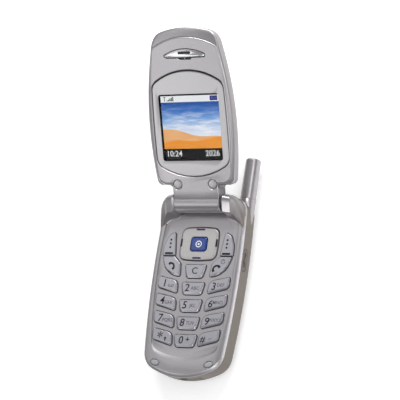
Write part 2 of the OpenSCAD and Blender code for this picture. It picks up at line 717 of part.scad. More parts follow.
module flip_cover() color(taupe) in_lid() difference() {
    union() {
        lid_shell(0, lid_seam);
        shoulders();
        rod_x(barrel_r, -barrel_w / 2, barrel_w / 2);
        block(-barrel_w / 2, barrel_w / 2, 0, 12, lid_back + 0.2, lid_seam);
    }
    difference() {
        lid_shell(lid_wall, lid_seam + over);
        block(-half_w, half_w, 0, 11.2, lid_back, lid_seam + over);
        pair(cap_x) post(0, cap_v, boss_r + 0.3, lid_back, lid_seam + over);
    }
    // the bezel's neck lies over the barrel's upper side
    block(-barrel_w, barrel_w, neck_v - 0.1, 12, lid_seam, lid_face + over);
    rod_x(cartridge_r + 0.05, barrel_w / 2 - cartridge_len - 0.2, barrel_w / 2 + over);
    rod_x(bush_r + run_fit, -barrel_w / 2 - over, -barrel_w / 2 + 3.9);
    rod_x(bush_r - 0.7, -barrel_w / 2, -barrel_w / 2 + 10.6);
    block(-barrel_w / 2 + 4.3, -barrel_w / 2 + 10.3, -1.2, 12, lid_board_z - 0.5, lid_board_z + 0.1);
    pair(cap_x) post(0, cap_v, screw_r + 0.02, lid_back + 1, lid_seam + over);
    slab(outline(outer_window, 1.2), lid_back - over, lid_back + lid_wall + over);
    slab(outline(outer_window, -0.1), lid_back - over, lid_back + 0.6);
}

module flip_bezel() color(silver) in_lid() difference() {
    union() {
        loft([[outline(lid_plan), lid_seam], [outline(lid_plan), lid_face - bevel_t],
            [outline(hood_plan), lid_face - bevel_t * 0.35], [outline(brow_plan), lid_face]]);
        block(-barrel_w / 2, barrel_w / 2, neck_v, 12, lid_seam, lid_face);
    }
    slab(outline(lens_plan, -0.1), lens_z, lid_face + over);
    block(-window_w / 2 - 0.5, window_w / 2 + 0.5, window_v - 0.5, window_end + 0.5,
        lid_seam - over, lid_face);
    slab(outline(trim_plan, -0.1), lid_face - 0.7, lid_face + over);
    block(-slot_w / 2, slot_w / 2, trim_v + 1.4, trim_v + 2.6, lid_seam - over, lid_face);
    pair(cap_x) {
        post(0, cap_v, cap_r + 0.05, lid_face - cap_t, lid_face + over);
        post(0, cap_v, screw_r + 0.2, lid_seam - over, lid_face);
    }
}

module display_lens() color("#c6c4c9") in_lid() slab(outline(lens_plan), lens_z, lens_z + lens_t);

module display_module() color("#1d2a4a") in_lid()
    block(-display_w / 2, display_w / 2, window_v - 2.5, window_end + 3, display_z, display_top);

module display_frame() color(dark) in_lid() difference() {
    block(-display_w / 2 - 1.2, display_w / 2 + 1.2, window_v - 3.7, window_end + 4.2,
        display_z, display_top);
    block(-display_w / 2 - 0.1, display_w / 2 + 0.1, window_v - 2.6, window_end + 3.1,
        display_z - over, display_top + over);
}

module earpiece_trim() color("#d5d4d8") in_lid() difference() {
    slab(outline(trim_plan), lid_face - 0.68, lid_face + 0.1);
    block(-slot_w / 2, slot_w / 2, trim_v + 1.4, trim_v + 2.6, 0, lid_face + over);
}

speaker_r = 5;
speaker_t = 2.5;
module earpiece_speaker() color(dark) in_lid() {
    post(0, speaker_v, speaker_r, lid_seam - 0.1 - speaker_t, lid_seam - 0.1);
    post(0, speaker_v, speaker_r - 1.4, lid_seam - 0.4 - speaker_t, lid_seam - 0.1 - speaker_t);
}

module flip_board() color("#2f5d3a") in_lid()
    block(-display_w / 2 - 1, display_w / 2 + 1, 11.8, window_end + 4, lid_board_z,
        lid_board_z + lid_board_t);

magnet_w = 6;
magnet_v = lid_len - 5.6;
module closing_magnet() color("#8a8d92") in_lid()
    block(-magnet_w / 2, magnet_w / 2, magnet_v, magnet_v + 2.4, lid_seam - 3.4, lid_seam - 0.2);

motor_r = 2;
motor_v = window_end + 8;
motor_z = lid_seam - 2.3;
// A can, its shaft and a half-round weight on it
module vibration_motor() color("#b9bcc2") in_lid() {
    rod_x(motor_r, -9, 1, motor_v, motor_z);
    rod_x(motor_r / 4, 1, 2, motor_v, motor_z);
    difference() {
        rod_x(motor_r - 0.2, 2, 5, motor_v, motor_z);
        block(1, 6, motor_v - 3, motor_v - 0.4, lid_back, lid_seam);
    }
}

module screw_caps() color("#b3b1b7") in_lid() pair(cap_x)
    post(0, cap_v, cap_r, lid_face - cap_t + 0.02, lid_face + 0.1);

module flip_screws() color("#55565a") in_lid() pair(cap_x)
    post(0, cap_v, screw_r, lid_back + 1.4, lid_face - cap_t - 0.05);

module hinge_cartridge() color("#9aa0a6") in_lid() {
    rod_x(cartridge_r, barrel_w / 2 - cartridge_len, barrel_w / 2 - 0.1);
    rod_x(cam_r, barrel_w / 2 - 0.2, ear_x + 3.1);
}

module flip_flex() color("#b5651d") in_lid() {
    rod_x(1.1, -ear_x - 2.8, -barrel_w / 2 + 10);
    block(-barrel_w / 2 + 4.8, -barrel_w / 2 + 4.8 + flex_w, -0.6, 15, lid_board_z - 0.25,
        lid_board_z - 0.05);
}

module outer_lens() color("#3a3f4a") in_lid() slab(outline(outer_window), lid_back, lid_back + 0.55);

module outer_display() color("#5a6a5e") in_lid()
    block(-outer_window[0] + 2.4, outer_window[0] - 2.4, outer_window[6] + 1.4, outer_window[3] - 1.4,
        lid_back + lid_wall + 0.1, lid_board_z - 0.1);

front_housing();
rear_housing();
main_board();
shield_cans();
dome_sheet();
key_mat();
microphone();
ringer_speaker();
sim_holder();
battery_contacts();
antenna_bush();
antenna();
system_connector();
headset_jack();
hinge_bush();
flex_tail();
chin_bumpers();
housing_screws();
flip_bezel();
flip_cover();
display_lens();
display_module();
display_frame();
earpiece_trim();
earpiece_speaker();
flip_board();
closing_magnet();
vibration_motor();
screw_caps();
flip_screws();
hinge_cartridge();
flip_flex();
outer_lens();
outer_display();
key(right_key(0), right_radii, true);  // key_1
key(middle_key(0), middle_radii);  // key_2
key(right_key(0), right_radii);  // key_3
key(right_key(1), right_radii, true);  // key_4
key(middle_key(1), middle_radii);  // key_5
key(right_key(1), right_radii);  // key_6
key(right_key(2), right_radii, true);  // key_7
key(middle_key(2), middle_radii);  // key_8
key(right_key(2), right_radii);  // key_9
key(right_key(3), right_radii, true);  // key_star
key(middle_key(3), middle_radii);  // key_0
key(right_key(3), right_radii);  // key_hash
key(clear_shape, clear_radii);  // clear_key
key(soft_shape, soft_radii, true, 0, split_v - split_gap / 2);  // soft_key_left
key(soft_shape, soft_radii, false, 0, split_v - split_gap / 2);  // soft_key_right
key(call_shape, call_radii, true, split_v + split_gap / 2);  // send_key
key(call_shape, call_radii, false, split_v + split_gap / 2);  // end_key
nav_key();
nav_rocker();
select_key();
volume_key();
jack_cover();
port_cover();
battery_latch();
battery_cell();
battery_cover();
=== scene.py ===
# Looks for a folding phone that lies open on its back.
import bpy
import json
from math import acos, atan2, cos, degrees, hypot, pi, radians, sin, sqrt, tan
from mathutils import Matrix, Vector


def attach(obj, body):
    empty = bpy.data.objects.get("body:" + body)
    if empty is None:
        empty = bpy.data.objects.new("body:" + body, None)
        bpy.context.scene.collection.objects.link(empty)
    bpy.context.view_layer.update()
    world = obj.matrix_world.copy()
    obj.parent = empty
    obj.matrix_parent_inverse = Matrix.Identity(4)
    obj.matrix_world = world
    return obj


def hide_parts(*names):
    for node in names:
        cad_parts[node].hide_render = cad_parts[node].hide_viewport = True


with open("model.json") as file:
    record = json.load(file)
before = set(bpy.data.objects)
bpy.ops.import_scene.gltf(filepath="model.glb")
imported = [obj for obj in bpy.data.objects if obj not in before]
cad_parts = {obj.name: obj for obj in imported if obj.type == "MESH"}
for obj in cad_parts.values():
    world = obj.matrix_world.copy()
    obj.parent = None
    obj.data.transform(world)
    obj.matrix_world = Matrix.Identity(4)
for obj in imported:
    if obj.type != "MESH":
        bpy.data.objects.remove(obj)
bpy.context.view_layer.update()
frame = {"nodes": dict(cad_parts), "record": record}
nodes = frame["nodes"]
bpy.ops.object.select_all(action="DESELECT")
print("frame loaded:", len(nodes), "nodes")

mm = 0.001
# the sizes that the shapes share, in millimetres, as in the solid model
phone = {"baseW": 43.6, "baseLen": 77.7, "baseT": 12.6, "lidW": 42.4, "lidLen": 78.5, "barrelR": 4.2,
         "barrelW": 22.6, "hingeY": 40.0, "hingeZ": 16.9, "lift": radians(27.2), "seamZ": 11.1, "deckZ": 12.2,
         "keyTop": 13.05, "lidSeam": 1.9}


def onBase(x, v, z):
    return Vector((x, phone["hingeY"] - v, z)) * mm


def onLid(x, v, z):
    c, s = cos(phone["lift"]), sin(phone["lift"])
    return Vector((x, phone["hingeY"] + v * c - z * s, phone["hingeZ"] + v * s + z * c)) * mm


def arcPoints(cx, cy, r, a, b, n):
    return [(cx + r * cos(a + (b - a) * i / n), cy + r * sin(a + (b - a) * i / n)) for i in range(1, n + 1)]


def cornerCentre(c, rc, d, rd, side):
    ex, ey = d[0] - c[0], d[1] - c[1]
    dist = hypot(ex, ey)
    ux, uy = ex / dist, ey / dist
    a = (rc * rc - rd * rd + dist * dist) / (2 * dist)
    h = sqrt(rc * rc - a * a)
    return c[0] + a * ux - side * h * uy, c[1] + a * uy + side * h * ux


def planOutline(plan, inset=0.0, fine=9):
    # half width, side radius, widest v, end v, end crown, end corner, foot v, foot crown, foot corner
    hw, sr, wide, endV, crown, corner, footV, footCrown, footCorner = plan
    side, top, low = (hw - sr, wide), (0, endV - crown), (0, footV + footCrown)
    k = cornerCentre(side, sr - corner, top, crown - corner, 1)
    f = cornerCentre(side, sr - footCorner, low, footCrown - footCorner, -1)

    def bearing(p, q):
        return atan2(q[1] - p[1], q[0] - p[0])

    right = [(0, footV + inset)]
    right += arcPoints(*low, footCrown - inset, -pi / 2, bearing(low, f), 4)
    right += arcPoints(*f, footCorner - inset, bearing(low, f), bearing(side, f), fine)
    right += arcPoints(*side, sr - inset, bearing(side, f), bearing(side, k), 12)
    right += arcPoints(*k, corner - inset, bearing(side, k), bearing(top, k), fine)
    right += arcPoints(*top, crown - inset, bearing(top, k), pi / 2, 8)
    return right + [(-x, v) for x, v in right[-2:0:-1]]


def blendOutline(a, b, t, inset=0.0):
    return [(p[0] + (q[0] - p[0]) * t, p[1] + (q[1] - p[1]) * t)
            for p, q in zip(planOutline(a, inset), planOutline(b, inset))]


def softOutline(points, radii, grow=0.0, fine=6):
    # a polygon with each corner rounded by its radius
    out = []
    for i, r in enumerate(radii):
        a, b, c = Vector(points[i - 1]), Vector(points[i]), Vector(points[(i + 1) % len(points)])
        u, w = (a - b).normalized(), (c - b).normalized()
        half = acos(max(-1, min(1, u.dot(w)))) / 2
        m = b + (u + w).normalized() * r / sin(half)
        p, q = b + u * r / tan(half) - m, b + w * r / tan(half) - m
        start = atan2(p.y, p.x)
        turn = (atan2(q.y, q.x) - start + pi) % (2 * pi) - pi
        for j in range(fine + 1):
            bend = start + turn * j / fine
            out.append((m.x + (r + grow) * cos(bend), m.y + (r + grow) * sin(bend)))
    return out


def flipX(points):
    return [(-x, v) for x, v in points]


def slotOutline(length, height, v, z, n=8):
    # round ends, in (v, z)
    half, r = (length - height) / 2, height / 2
    turns = [-pi / 2 + pi * i / n for i in range(n + 1)]
    right = [(v + half + r * cos(a), z + r * sin(a)) for a in turns]
    return right + [(v - half - r * cos(a), z - r * sin(a)) for a in turns]


def roundAcross(v, z, r, n=32):
    return [(v + r * cos(2 * pi * i / n), z + r * sin(2 * pi * i / n)) for i in range(n)]


def ovalOutline(x, v, rx, rv, n=24):
    return [(x + rx * cos(2 * pi * i / n), v + rv * sin(2 * pi * i / n)) for i in range(n)]


def selectOnly(*pieces):
    bpy.ops.object.select_all(action="DESELECT")
    for p in pieces:
        p.select_set(True)
    bpy.context.view_layer.objects.active = pieces[0]


def placeRing(piece, old, new, place):
    # the newest vertices lie on the old ring: move each to its place on the new one
    verts = piece.data.vertices
    spots = {tuple(round(c, 7) for c in place(*p)): i for i, p in enumerate(old)}
    for vert in list(verts)[len(verts) - len(old):]:
        key = tuple(round(c, 7) for c in vert.co)
        i = spots.get(key)
        if i is None:
            i = min(range(len(old)), key=lambda j: (place(*old[j]) - vert.co).length)
        vert.co = place(*new[i])


def raiseRings(name, rings, place, angle=35):
    # a filled circle, extruded once for each further ring; a ring is a list of (x, v, z)
    n = len(rings[0])
    bpy.ops.object.select_all(action="DESELECT")
    bpy.ops.mesh.primitive_circle_add(vertices=n, radius=0.01, fill_type="NGON")
    piece = bpy.context.active_object
    piece.name = piece.data.name = name
    for vert, p in zip(piece.data.vertices, rings[0]):
        vert.co = place(*p)
    for old, new in zip(rings, rings[1:]):
        bpy.ops.object.mode_set(mode="EDIT")
        bpy.ops.mesh.extrude_region_move()
        bpy.ops.object.mode_set(mode="OBJECT")
        placeRing(piece, old, new, place)
    bpy.ops.object.mode_set(mode="EDIT")
    bpy.ops.mesh.select_all(action="SELECT")
    bpy.ops.mesh.normals_make_consistent(inside=False)
    bpy.ops.mesh.select_all(action="DESELECT")
    bpy.ops.object.mode_set(mode="OBJECT")
    if angle:
        smooth(piece, angle)
    return piece


def smooth(piece, angle=35):
    selectOnly(piece)
    bpy.ops.object.shade_smooth_by_angle(angle=radians(angle))


def level(points, z):
    return [(x, v, z) for x, v in points]


def acrossX(profile, x):
    # a profile of (v, z) stood up across the hinge
    return [(x, v, z) for v, z in profile]


def prism(outline, z0, z1, place, name="cutter"):
    return raiseRings(name, [level(outline, z0), level(outline, z1)], place, 0)


def crossBar(profile, x0, x1, place, name="cutter"):
    return raiseRings(name, [acrossX(profile, x0), acrossX(profile, x1)], place, 0)


def applyModifier(piece, kind, **settings):
    selectOnly(piece)
    modifier = piece.modifiers.new(kind.title(), kind)
    for key, value in settings.items():
        setattr(modifier, key, value)
    bpy.ops.object.modifier_apply(modifier=modifier.name)


def combine(piece, others, how="DIFFERENCE"):
    for other in others:
        applyModifier(piece, "BOOLEAN", operation=how, object=other, solver="EXACT")
        bpy.data.objects.remove(other)
    return piece


def joinPieces(pieces, name):
    selectOnly(*pieces)
    bpy.ops.object.join()
    pieces[0].name = pieces[0].data.name = name
    return pieces[0]


def finishPiece(piece, body, replaced=()):
    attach(piece, body)
    if replaced:
        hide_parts(*replaced)
    return piece


def hexColour(code):
    parts = [int(code[i:i + 2], 16) / 255 for i in (1, 3, 5)]
    return tuple(c / 12.92 if c <= 0.04045 else ((c + 0.055) / 1.055) ** 2.4 for c in parts) + (1,)


def addNode(tree, kind, settings=None, links=None):
    node = tree.nodes.new(kind)
    for key, value in (settings or {}).items():
        if isinstance(key, str) and hasattr(node, key):
            setattr(node, key, value)
        else:
            node.inputs[key].default_value = value
    for key, source in (links or {}).items():
        tree.links.new(source, node.inputs[key])
    return node


def startMaterial(name):
    material = bpy.data.materials.new(name)
    material.use_nodes = True
    tree = material.node_tree
    tree.nodes.clear()
    out = addNode(tree, "ShaderNodeOutputMaterial")
    coords = addNode(tree, "ShaderNodeTexCoord").outputs["Object"]
    return material, tree, out, coords


def paintFinish(name, low, high, settings, grain=0.45, grit=0.02, spread=(0.28, 0.4), fade=None):
    # grain is the size of the flakes in mm; the real ones are about 0.05 mm and are drawn coarser to show
    material, tree, out, coords = startMaterial(name)
    flakes = addNode(tree, "ShaderNodeTexNoise", {"Scale": 1000 / grain, "Detail": 2.0, "Roughness": 0.6},
                     {"Vector": coords})
    drift = addNode(tree, "ShaderNodeTexNoise", {"Scale": 60.0, "Detail": 3.0}, {"Vector": coords})
    speckle = addNode(tree, "ShaderNodeMath", {"operation": "MULTIPLY", 1: 0.75}, {0: flakes.outputs["Fac"]})
    mottle = addNode(tree, "ShaderNodeMath", {"operation": "MULTIPLY_ADD", 1: 0.25},
                     {0: drift.outputs["Fac"], 2: speckle.outputs[0]})
    colour = addNode(tree, "ShaderNodeValToRGB", None, {"Fac": mottle.outputs[0]})
    colour.color_ramp.elements[0].position = 0.3
    colour.color_ramp.elements[1].position = 0.7
    colour.color_ramp.elements[0].color = hexColour(low)
    colour.color_ramp.elements[1].color = hexColour(high)
    tone = colour.outputs["Color"]
    if fade:                               # a paler silver-grey that fades in with height
        parts = addNode(tree, "ShaderNodeSeparateXYZ", None, {0: coords})
        height = addNode(tree, "ShaderNodeMapRange", {"From Min": fade[0] * mm, "From Max": fade[1] * mm},
                         {0: parts.outputs["Z"]})
        tone = addNode(tree, "ShaderNodeMix", {"data_type": "RGBA", 7: hexColour(fade[2])},
                       {0: height.outputs[0], 6: tone}).outputs[2]
    rough = addNode(tree, "ShaderNodeMapRange", {"To Min": spread[0], "To Max": spread[1]},
                    {"Value": drift.outputs["Fac"]})
    bump = addNode(tree, "ShaderNodeBump", {"Strength": 0.25, "Distance": grit * mm},
                   {"Height": flakes.outputs["Fac"]})
    shader = addNode(tree, "ShaderNodeBsdfPrincipled", settings,
                     {"Base Color": tone, "Roughness": rough.outputs[0],
                      "Normal": bump.outputs["Normal"]})
    tree.links.new(shader.outputs[0], out.inputs["Surface"])
    return material


# silver lacquer on moulded ABS: fine metal flakes in a satin coat, so broad soft highlights
silverPaint = paintFinish("silver lacquered ABS", "#a9a6a9", "#bab7b9", {"Metallic": 0.8, "Coat Weight": 0.2,
                          "Coat Roughness": 0.25}, spread=(0.3, 0.39))
# the same lacquer on the keys, which are a shade bluer and a little glossier
keyPaint = paintFinish("silver lacquered keys", "#a2a1a8", "#b2b1b7", {"Metallic": 0.75, "Coat Weight": 0.35,
                       "Coat Roughness": 0.18}, spread=(0.24, 0.33))
# the navigation plate: a warmer, lighter lacquer with a satin skin
navPaint = paintFinish("pale lacquered ABS", "#bab6b6", "#c8c5c4", {"Metallic": 0.7, "Coat Weight": 0.2,
                       "Coat Roughness": 0.25}, spread=(0.3, 0.4))
# the lens: clear acrylic printed silver on its back, so the silver lies under a polished face
lensPrint = paintFinish("silver printed acrylic", "#b0aeb0", "#bebcbd", {"Metallic": 0.75, "Coat Weight": 0.6,
                        "Coat Roughness": 0.06}, spread=(0.3, 0.38))
# plated ring of the earpiece: bright, smooth, a little satin
brightPlate = paintFinish("satin plated ABS", "#cfcdcf", "#dcdadb", {"Metallic": 0.9}, spread=(0.2, 0.28))
# warm grey lacquer of the rear shells: brown-grey below, turning silver towards the hinge and the lid
taupePaint = paintFinish("warm grey lacquered ABS", "#716963", "#81786f", {"Metallic": 0.45,
                         "Coat Weight": 0.15, "Coat Roughness": 0.3}, spread=(0.34, 0.46),
                         fade=(12.5, 18.0, "#a6a3a3"))
# moulded silicone: dull, even, a little rough; the bumpers' is paler and the side covers' brown-grey
greyRubber = paintFinish("moulded silicone", "#77767a", "#858488", {"Specular IOR Level": 0.35}, grit=0.04,
                         spread=(0.55, 0.7))
paleRubber = paintFinish("pale moulded silicone", "#a09ea3", "#adabb0", {"Specular IOR Level": 0.45}, grit=0.03,
                         spread=(0.42, 0.55))
taupeRubber = paintFinish("moulded side cover rubber", "#756c66", "#847b74", {"Specular IOR Level": 0.35},
                          grit=0.04, spread=(0.4, 0.55))
# glass-filled nylon inside: near black, with a fine moulded grain; the same black is also painted on the floors
# of the lid's recesses as painted shade
blackNylonAndShade = paintFinish("black glass-filled nylon", "#1b1b1e", "#29292d", {"IOR": 1.53}, spread=(0.45, 0.6))
# inks pad-printed on the keys, dull where the lacquer shines
blackInk = paintFinish("black pad-print ink", "#131316", "#1d1d20", {"Specular IOR Level": 0.35},
                       spread=(0.45, 0.6))
greyInk = paintFinish("grey pad-print ink", "#4e4e57", "#5d5d66", {"Specular IOR Level": 0.35},
                      spread=(0.45, 0.6))
whiteInk = paintFinish("white pad-print ink", "#e6e8ee", "#f2f3f6", {"Specular IOR Level": 0.4},
                       spread=(0.4, 0.5))
# navy plastic let into the navigation plate's upper and lower slots
navyInk = paintFinish("navy moulded ABS", "#15184a", "#20245c", {"IOR": 1.5}, spread=(0.3, 0.4))
# tinted clear acrylic of the middle key: deep blue under a polished skin
blueAcrylic = paintFinish("blue tinted acrylic", "#06286e", "#0d3c8c", {"IOR": 1.49, "Coat Weight": 0.5,
                          "Coat Roughness": 0.05}, spread=(0.14, 0.22))
# smoked acrylic over the outer display: almost black, with a hard polished face
smokedAcrylic = paintFinish("smoked acrylic", "#16181d", "#1e2127", {"IOR": 1.49, "Coat Weight": 0.6,
                            "Coat Roughness": 0.03}, grit=0.002, spread=(0.06, 0.1))
# green solder mask on glass-epoxy board, slightly uneven where copper lies under it
solderMask = paintFinish("green solder mask", "#1c4a2c", "#2c6a40", {"IOR": 1.53, "Coat Weight": 0.3},
                         grain=1.2, spread=(0.25, 0.4))
# amber polyimide of the flat cable, smooth and faintly streaked
amberFilm = paintFinish("amber polyimide film", "#9c5a1c", "#b97229", {"IOR": 1.7}, grain=0.9,
                        spread=(0.2, 0.32))
# printed film with spring domes: pale, matt
domeFilm = paintFinish("pale dome film", "#c9c9be", "#d8d8cd", {"IOR": 1.58}, spread=(0.4, 0.55))
# tin-plated sheet of the shield cans: soft grey crystals
tinPlate = paintFinish("tin-plated sheet", "#a9adb2", "#c6cacf", {"Metallic": 1.0}, grain=1.6,
                       spread=(0.28, 0.45))
# turned and stamped steel: screws, cartridge, bush
plainSteel = paintFinish("turned steel", "#8b8e93", "#a3a6ab", {"Metallic": 1.0}, spread=(0.22, 0.34))
# nickel-plated sintered magnet, a duller silver with pores
magnetSkin = paintFinish("nickel-plated magnet", "#8d8c88", "#a19f9b", {"Metallic": 1.0}, grain=0.3,
                         spread=(0.35, 0.5))
# gold flash on the spring contacts
goldFlash = paintFinish("gold-flashed contact", "#c79a43", "#deb45c", {"Metallic": 1.0}, spread=(0.2, 0.32))
# printed wrap of the cell can, plain and blank
cellWrap = paintFinish("blue-grey cell wrap", "#33425c", "#41526e", {"IOR": 1.5}, spread=(0.35, 0.5))


def clearSheet(name):
    # cast acrylic with an anti-glare coating, hence the low index: clear, polished, with faint reflections
    material, tree, out, coords = startMaterial(name)
    waves = addNode(tree, "ShaderNodeTexNoise", {"Scale": 120.0, "Detail": 1.0}, {"Vector": coords})
    bump = addNode(tree, "ShaderNodeBump", {"Strength": 0.05, "Distance": 0.01 * mm},
                   {"Height": waves.outputs["Fac"]})
    rough = addNode(tree, "ShaderNodeMapRange", {"To Min": 0.0, "To Max": 0.02},
                    {"Value": waves.outputs["Fac"]})
    shader = addNode(tree, "ShaderNodeBsdfPrincipled",
                     {"Transmission Weight": 1.0, "IOR": 1.14, "Base Color": hexColour("#fbfcfc")},
                     {"Normal": bump.outputs["Normal"], "Roughness": rough.outputs[0]})
    tree.links.new(shader.outputs[0], out.inputs["Surface"])
    return material


clearAcrylic = clearSheet("clear acrylic")
# black mask round the display: bonded behind the sheet, so it hardly reflects
maskBlack = paintFinish("black display mask", "#08080a", "#0f0f12", {"Specular IOR Level": 0.08},
                        spread=(0.5, 0.6))
inks = {"black": blackInk, "grey": greyInk, "white": whiteInk}


def mathNode(tree, how, a, b=None, c=None):
    node = addNode(tree, "ShaderNodeMath", {"operation": how})
    for i, value in enumerate((a, b, c)):
        if isinstance(value, (int, float)):
            node.inputs[i].default_value = value
        elif value is not None:
            tree.links.new(value, node.inputs[i])
    return node.outputs[0]


# each dune of the display's picture, the far one first: slope, height at the left, swell, darker, lighter
dunes = ((-0.2, 0.42, 0.03, "#e9a262", "#f3bd83"), (0.1, 0.13, 0.025, "#ee8a22", "#f6a53c"))


def litPicture(name):
    # a backlit colour display: pale cloud over blue and two orange dunes, on the picture's own UV
    material, tree, out, coords = startMaterial(name)
    uv = addNode(tree, "ShaderNodeUVMap", {"uv_map": "screen"}).outputs["UV"]
    axes = addNode(tree, "ShaderNodeSeparateXYZ", None, {"Vector": uv})
    x, y = axes.outputs["X"], axes.outputs["Y"]
    sky = addNode(tree, "ShaderNodeValToRGB", None, {"Fac": y})
    for place, code in ((0.35, "#dce5f6"), (0.6, "#86b0e4"), (0.78, "#2f74c8")):
        sky.color_ramp.elements.new(place).color = hexColour(code)
    sky.color_ramp.elements[0].color = hexColour("#e9edf8")
    sky.color_ramp.elements[-1].color = hexColour("#16489a")
    stretch = addNode(tree, "ShaderNodeMapping", {"Scale": (2.2, 7.0, 1.0), "Rotation": (0, 0, -0.22)},
                      {"Vector": uv})
    puffs = addNode(tree, "ShaderNodeTexNoise", {"Scale": 1.6, "Detail": 7.0, "Roughness": 0.62},
                    {"Vector": stretch.outputs[0]})
    cover = addNode(tree, "ShaderNodeMapRange", {"From Min": 0.44, "From Max": 0.66},
                    {"Value": puffs.outputs["Fac"]})
    band = addNode(tree, "ShaderNodeMapRange", {"From Min": 0.95, "From Max": 0.45}, {"Value": y})
    clouded = mathNode(tree, "MULTIPLY", cover.outputs[0], band.outputs[0])
    cloudy = addNode(tree, "ShaderNodeMix", {"data_type": "RGBA"})
    tree.links.new(clouded, cloudy.inputs[0])
    tree.links.new(sky.outputs["Color"], cloudy.inputs[6])
    cloudy.inputs[7].default_value = hexColour("#f5f7fd")
    colour = cloudy.outputs[2]
    for slope, start, swell, low, high in dunes:
        ripple = mathNode(tree, "SINE", mathNode(tree, "MULTIPLY", x, 8.0))
        line = mathNode(tree, "MULTIPLY_ADD", x, slope, start)
        edge = mathNode(tree, "ADD", line, mathNode(tree, "MULTIPLY", ripple, swell))
        inside = addNode(tree, "ShaderNodeMapRange", {"From Min": -0.006, "From Max": 0.006},
                         {"Value": mathNode(tree, "SUBTRACT", edge, y)})
        sand = addNode(tree, "ShaderNodeValToRGB", None, {"Fac": puffs.outputs["Fac"]})
        sand.color_ramp.elements[0].position, sand.color_ramp.elements[1].position = 0.3, 0.7
        sand.color_ramp.elements[0].color, sand.color_ramp.elements[1].color = hexColour(low), hexColour(high)
        layer = addNode(tree, "ShaderNodeMix", {"data_type": "RGBA"})
        tree.links.new(inside.outputs[0], layer.inputs[0])
        tree.links.new(colour, layer.inputs[6])
        tree.links.new(sand.outputs["Color"], layer.inputs[7])
        colour = layer.outputs[2]
    shader = addNode(tree, "ShaderNodeBsdfPrincipled", {"Base Color": (0.01, 0.01, 0.012, 1), "Roughness": 0.5,
                     "Specular IOR Level": 0.1, "Emission Strength": 0.9}, {"Emission Color": colour})
    tree.links.new(shader.outputs[0], out.inputs["Surface"])
    return material


def litPanel(name, low, high, strength):
    # one plain lit area of the display, with the faint unevenness of its backlight
    material, tree, out, coords = startMaterial(name)
    drift = addNode(tree, "ShaderNodeTexNoise", {"Scale": 90.0, "Detail": 1.0}, {"Vector": coords})
    tone = addNode(tree, "ShaderNodeValToRGB", None, {"Fac": drift.outputs["Fac"]})
    tone.color_ramp.elements[0].color, tone.color_ramp.elements[1].color = hexColour(low), hexColour(high)
    shader = addNode(tree, "ShaderNodeBsdfPrincipled", {"Base Color": (0.02, 0.02, 0.02, 1), "Roughness": 0.35,
                     "Emission Strength": strength}, {"Emission Color": tone.outputs["Color"]})
    tree.links.new(shader.outputs[0], out.inputs["Surface"])
    return material


wallpaper = litPicture("lit display picture")
statusWhite = litPanel("lit white panel", "#eceef0", "#f6f7f8", 0.85)
statusBlue = litPanel("lit blue bars", "#2431b8", "#2f3dcc", 0.7)
print("materials made")

flat = 2000                                # a crown so wide that the end is straight
# the outlines in plan; planOutline names the nine values of each
basePlan = (phone["baseW"] / 2, 420, 28, phone["baseLen"], 34, 9, -4.3, flat, 7)
deckPlan = (19.3, 240, 28, 70.6, 32, 5, -12, flat, 2)
deckLow = (19.0, 240, 28, 68.8, 34, 5, -12, flat, 2)
navPlan = (9.3, 60, 17.4, 24.9, 60, 2.8, 9.9, 60, 2.8)
keySizes = {"rowStart": 32.4, "rowPitch": 7.9, "gap": 0.22, "floor": 10.45, "top": 13.05, "round": 0.42}


def sideKey(row):
    ox, ix = 17.9 - 0.09 * row - 0.114 * row * row, 7.5 - 0.38 * row
    v = keySizes["rowStart"] + row * keySizes["rowPitch"]
    return [(ox, v), (ix + 0.5, v + 2), (ix, v + 7.8), (ox, v + 5.1)]


def middleKey(row):
    v = keySizes["rowStart"] + row * keySizes["rowPitch"]
    return [(5.8, v + 2.7), (-5.8, v + 2.7), (-4.7, v + 8.3), (4.7, v + 8.3)]


keyShapes = {}
for row, names in enumerate((("key_1", "key_2", "key_3"), ("key_4", "key_5", "key_6"),
                             ("key_7", "key_8", "key_9"), ("key_star", "key_0", "key_hash"))):
    keyShapes[names[0]] = (sideKey(row), (0.8, 3.2, 0.8, 2.2), -1)
    keyShapes[names[1]] = (middleKey(row), (0.9, 0.9, 1.7, 1.7), 1)
    keyShapes[names[2]] = (sideKey(row), (0.8, 3.2, 0.8, 2.2), 1)
softShape = ([(12.6, 12.1), (11.2, 22.9), (17.7, 22.9), (17.6, 18.2), (15.6, 13.3)], (0.7, 0.7, 0.6, 3.5, 3))
callShape = ([(11.3, 23.3), (7.9, 26.6), (7.3, 32.4), (11.4, 31.8), (15.4, 28.8), (17.5, 23.3)],
             (0.7, 1.4, 0.7, 7, 7, 0.6))
keyShapes["clear_key"] = ([(5.4, 27), (-5.4, 27), (-4, 33.1), (4, 33.1)], (0.9, 0.9, 1.6, 1.6), 1)
keyShapes["soft_key_left"] = softShape + (-1,)
keyShapes["soft_key_right"] = softShape + (1,)
keyShapes["send_key"] = callShape + (-1,)
keyShapes["end_key"] = callShape + (1,)


def keyOutline(name, grow=0.0):
    points, radii, side = keyShapes[name]
    ring = softOutline(points, radii, grow)
    return flipX(ring) if side < 0 else ring


def flare(outline, z0, z1, lip, place):
    # a cutter whose mouth opens a little, which leaves a small bevel on the edge it cuts
    inner, outer = outline(0), outline(lip)
    rings = [level(inner, z0), level(inner, z1 - lip), level(outer, z1), level(outer, z1 + 3)]
    return raiseRings("cutter", rings, place, angle=0)


bumperSizes = {"x": 13.4, "v": 71.7, "rx": 2.05, "rv": 1.2, "turn": 14, "low": 11.95, "top": 13.04}


def tiltedOval(side, shrink):
    b = bumperSizes
    c, s = cos(radians(b["turn"])), sin(radians(b["turn"]))
    spots = ovalOutline(0, 0, b["rx"] - shrink, b["rv"] - shrink, 32)
    return [(side * (b["x"] + p * c + q * s), b["v"] - p * s + q * c) for p, q in spots]


frontShell = {"rimWidth": 1.25, "rimDrop": 0.9, "lip": 0.18}


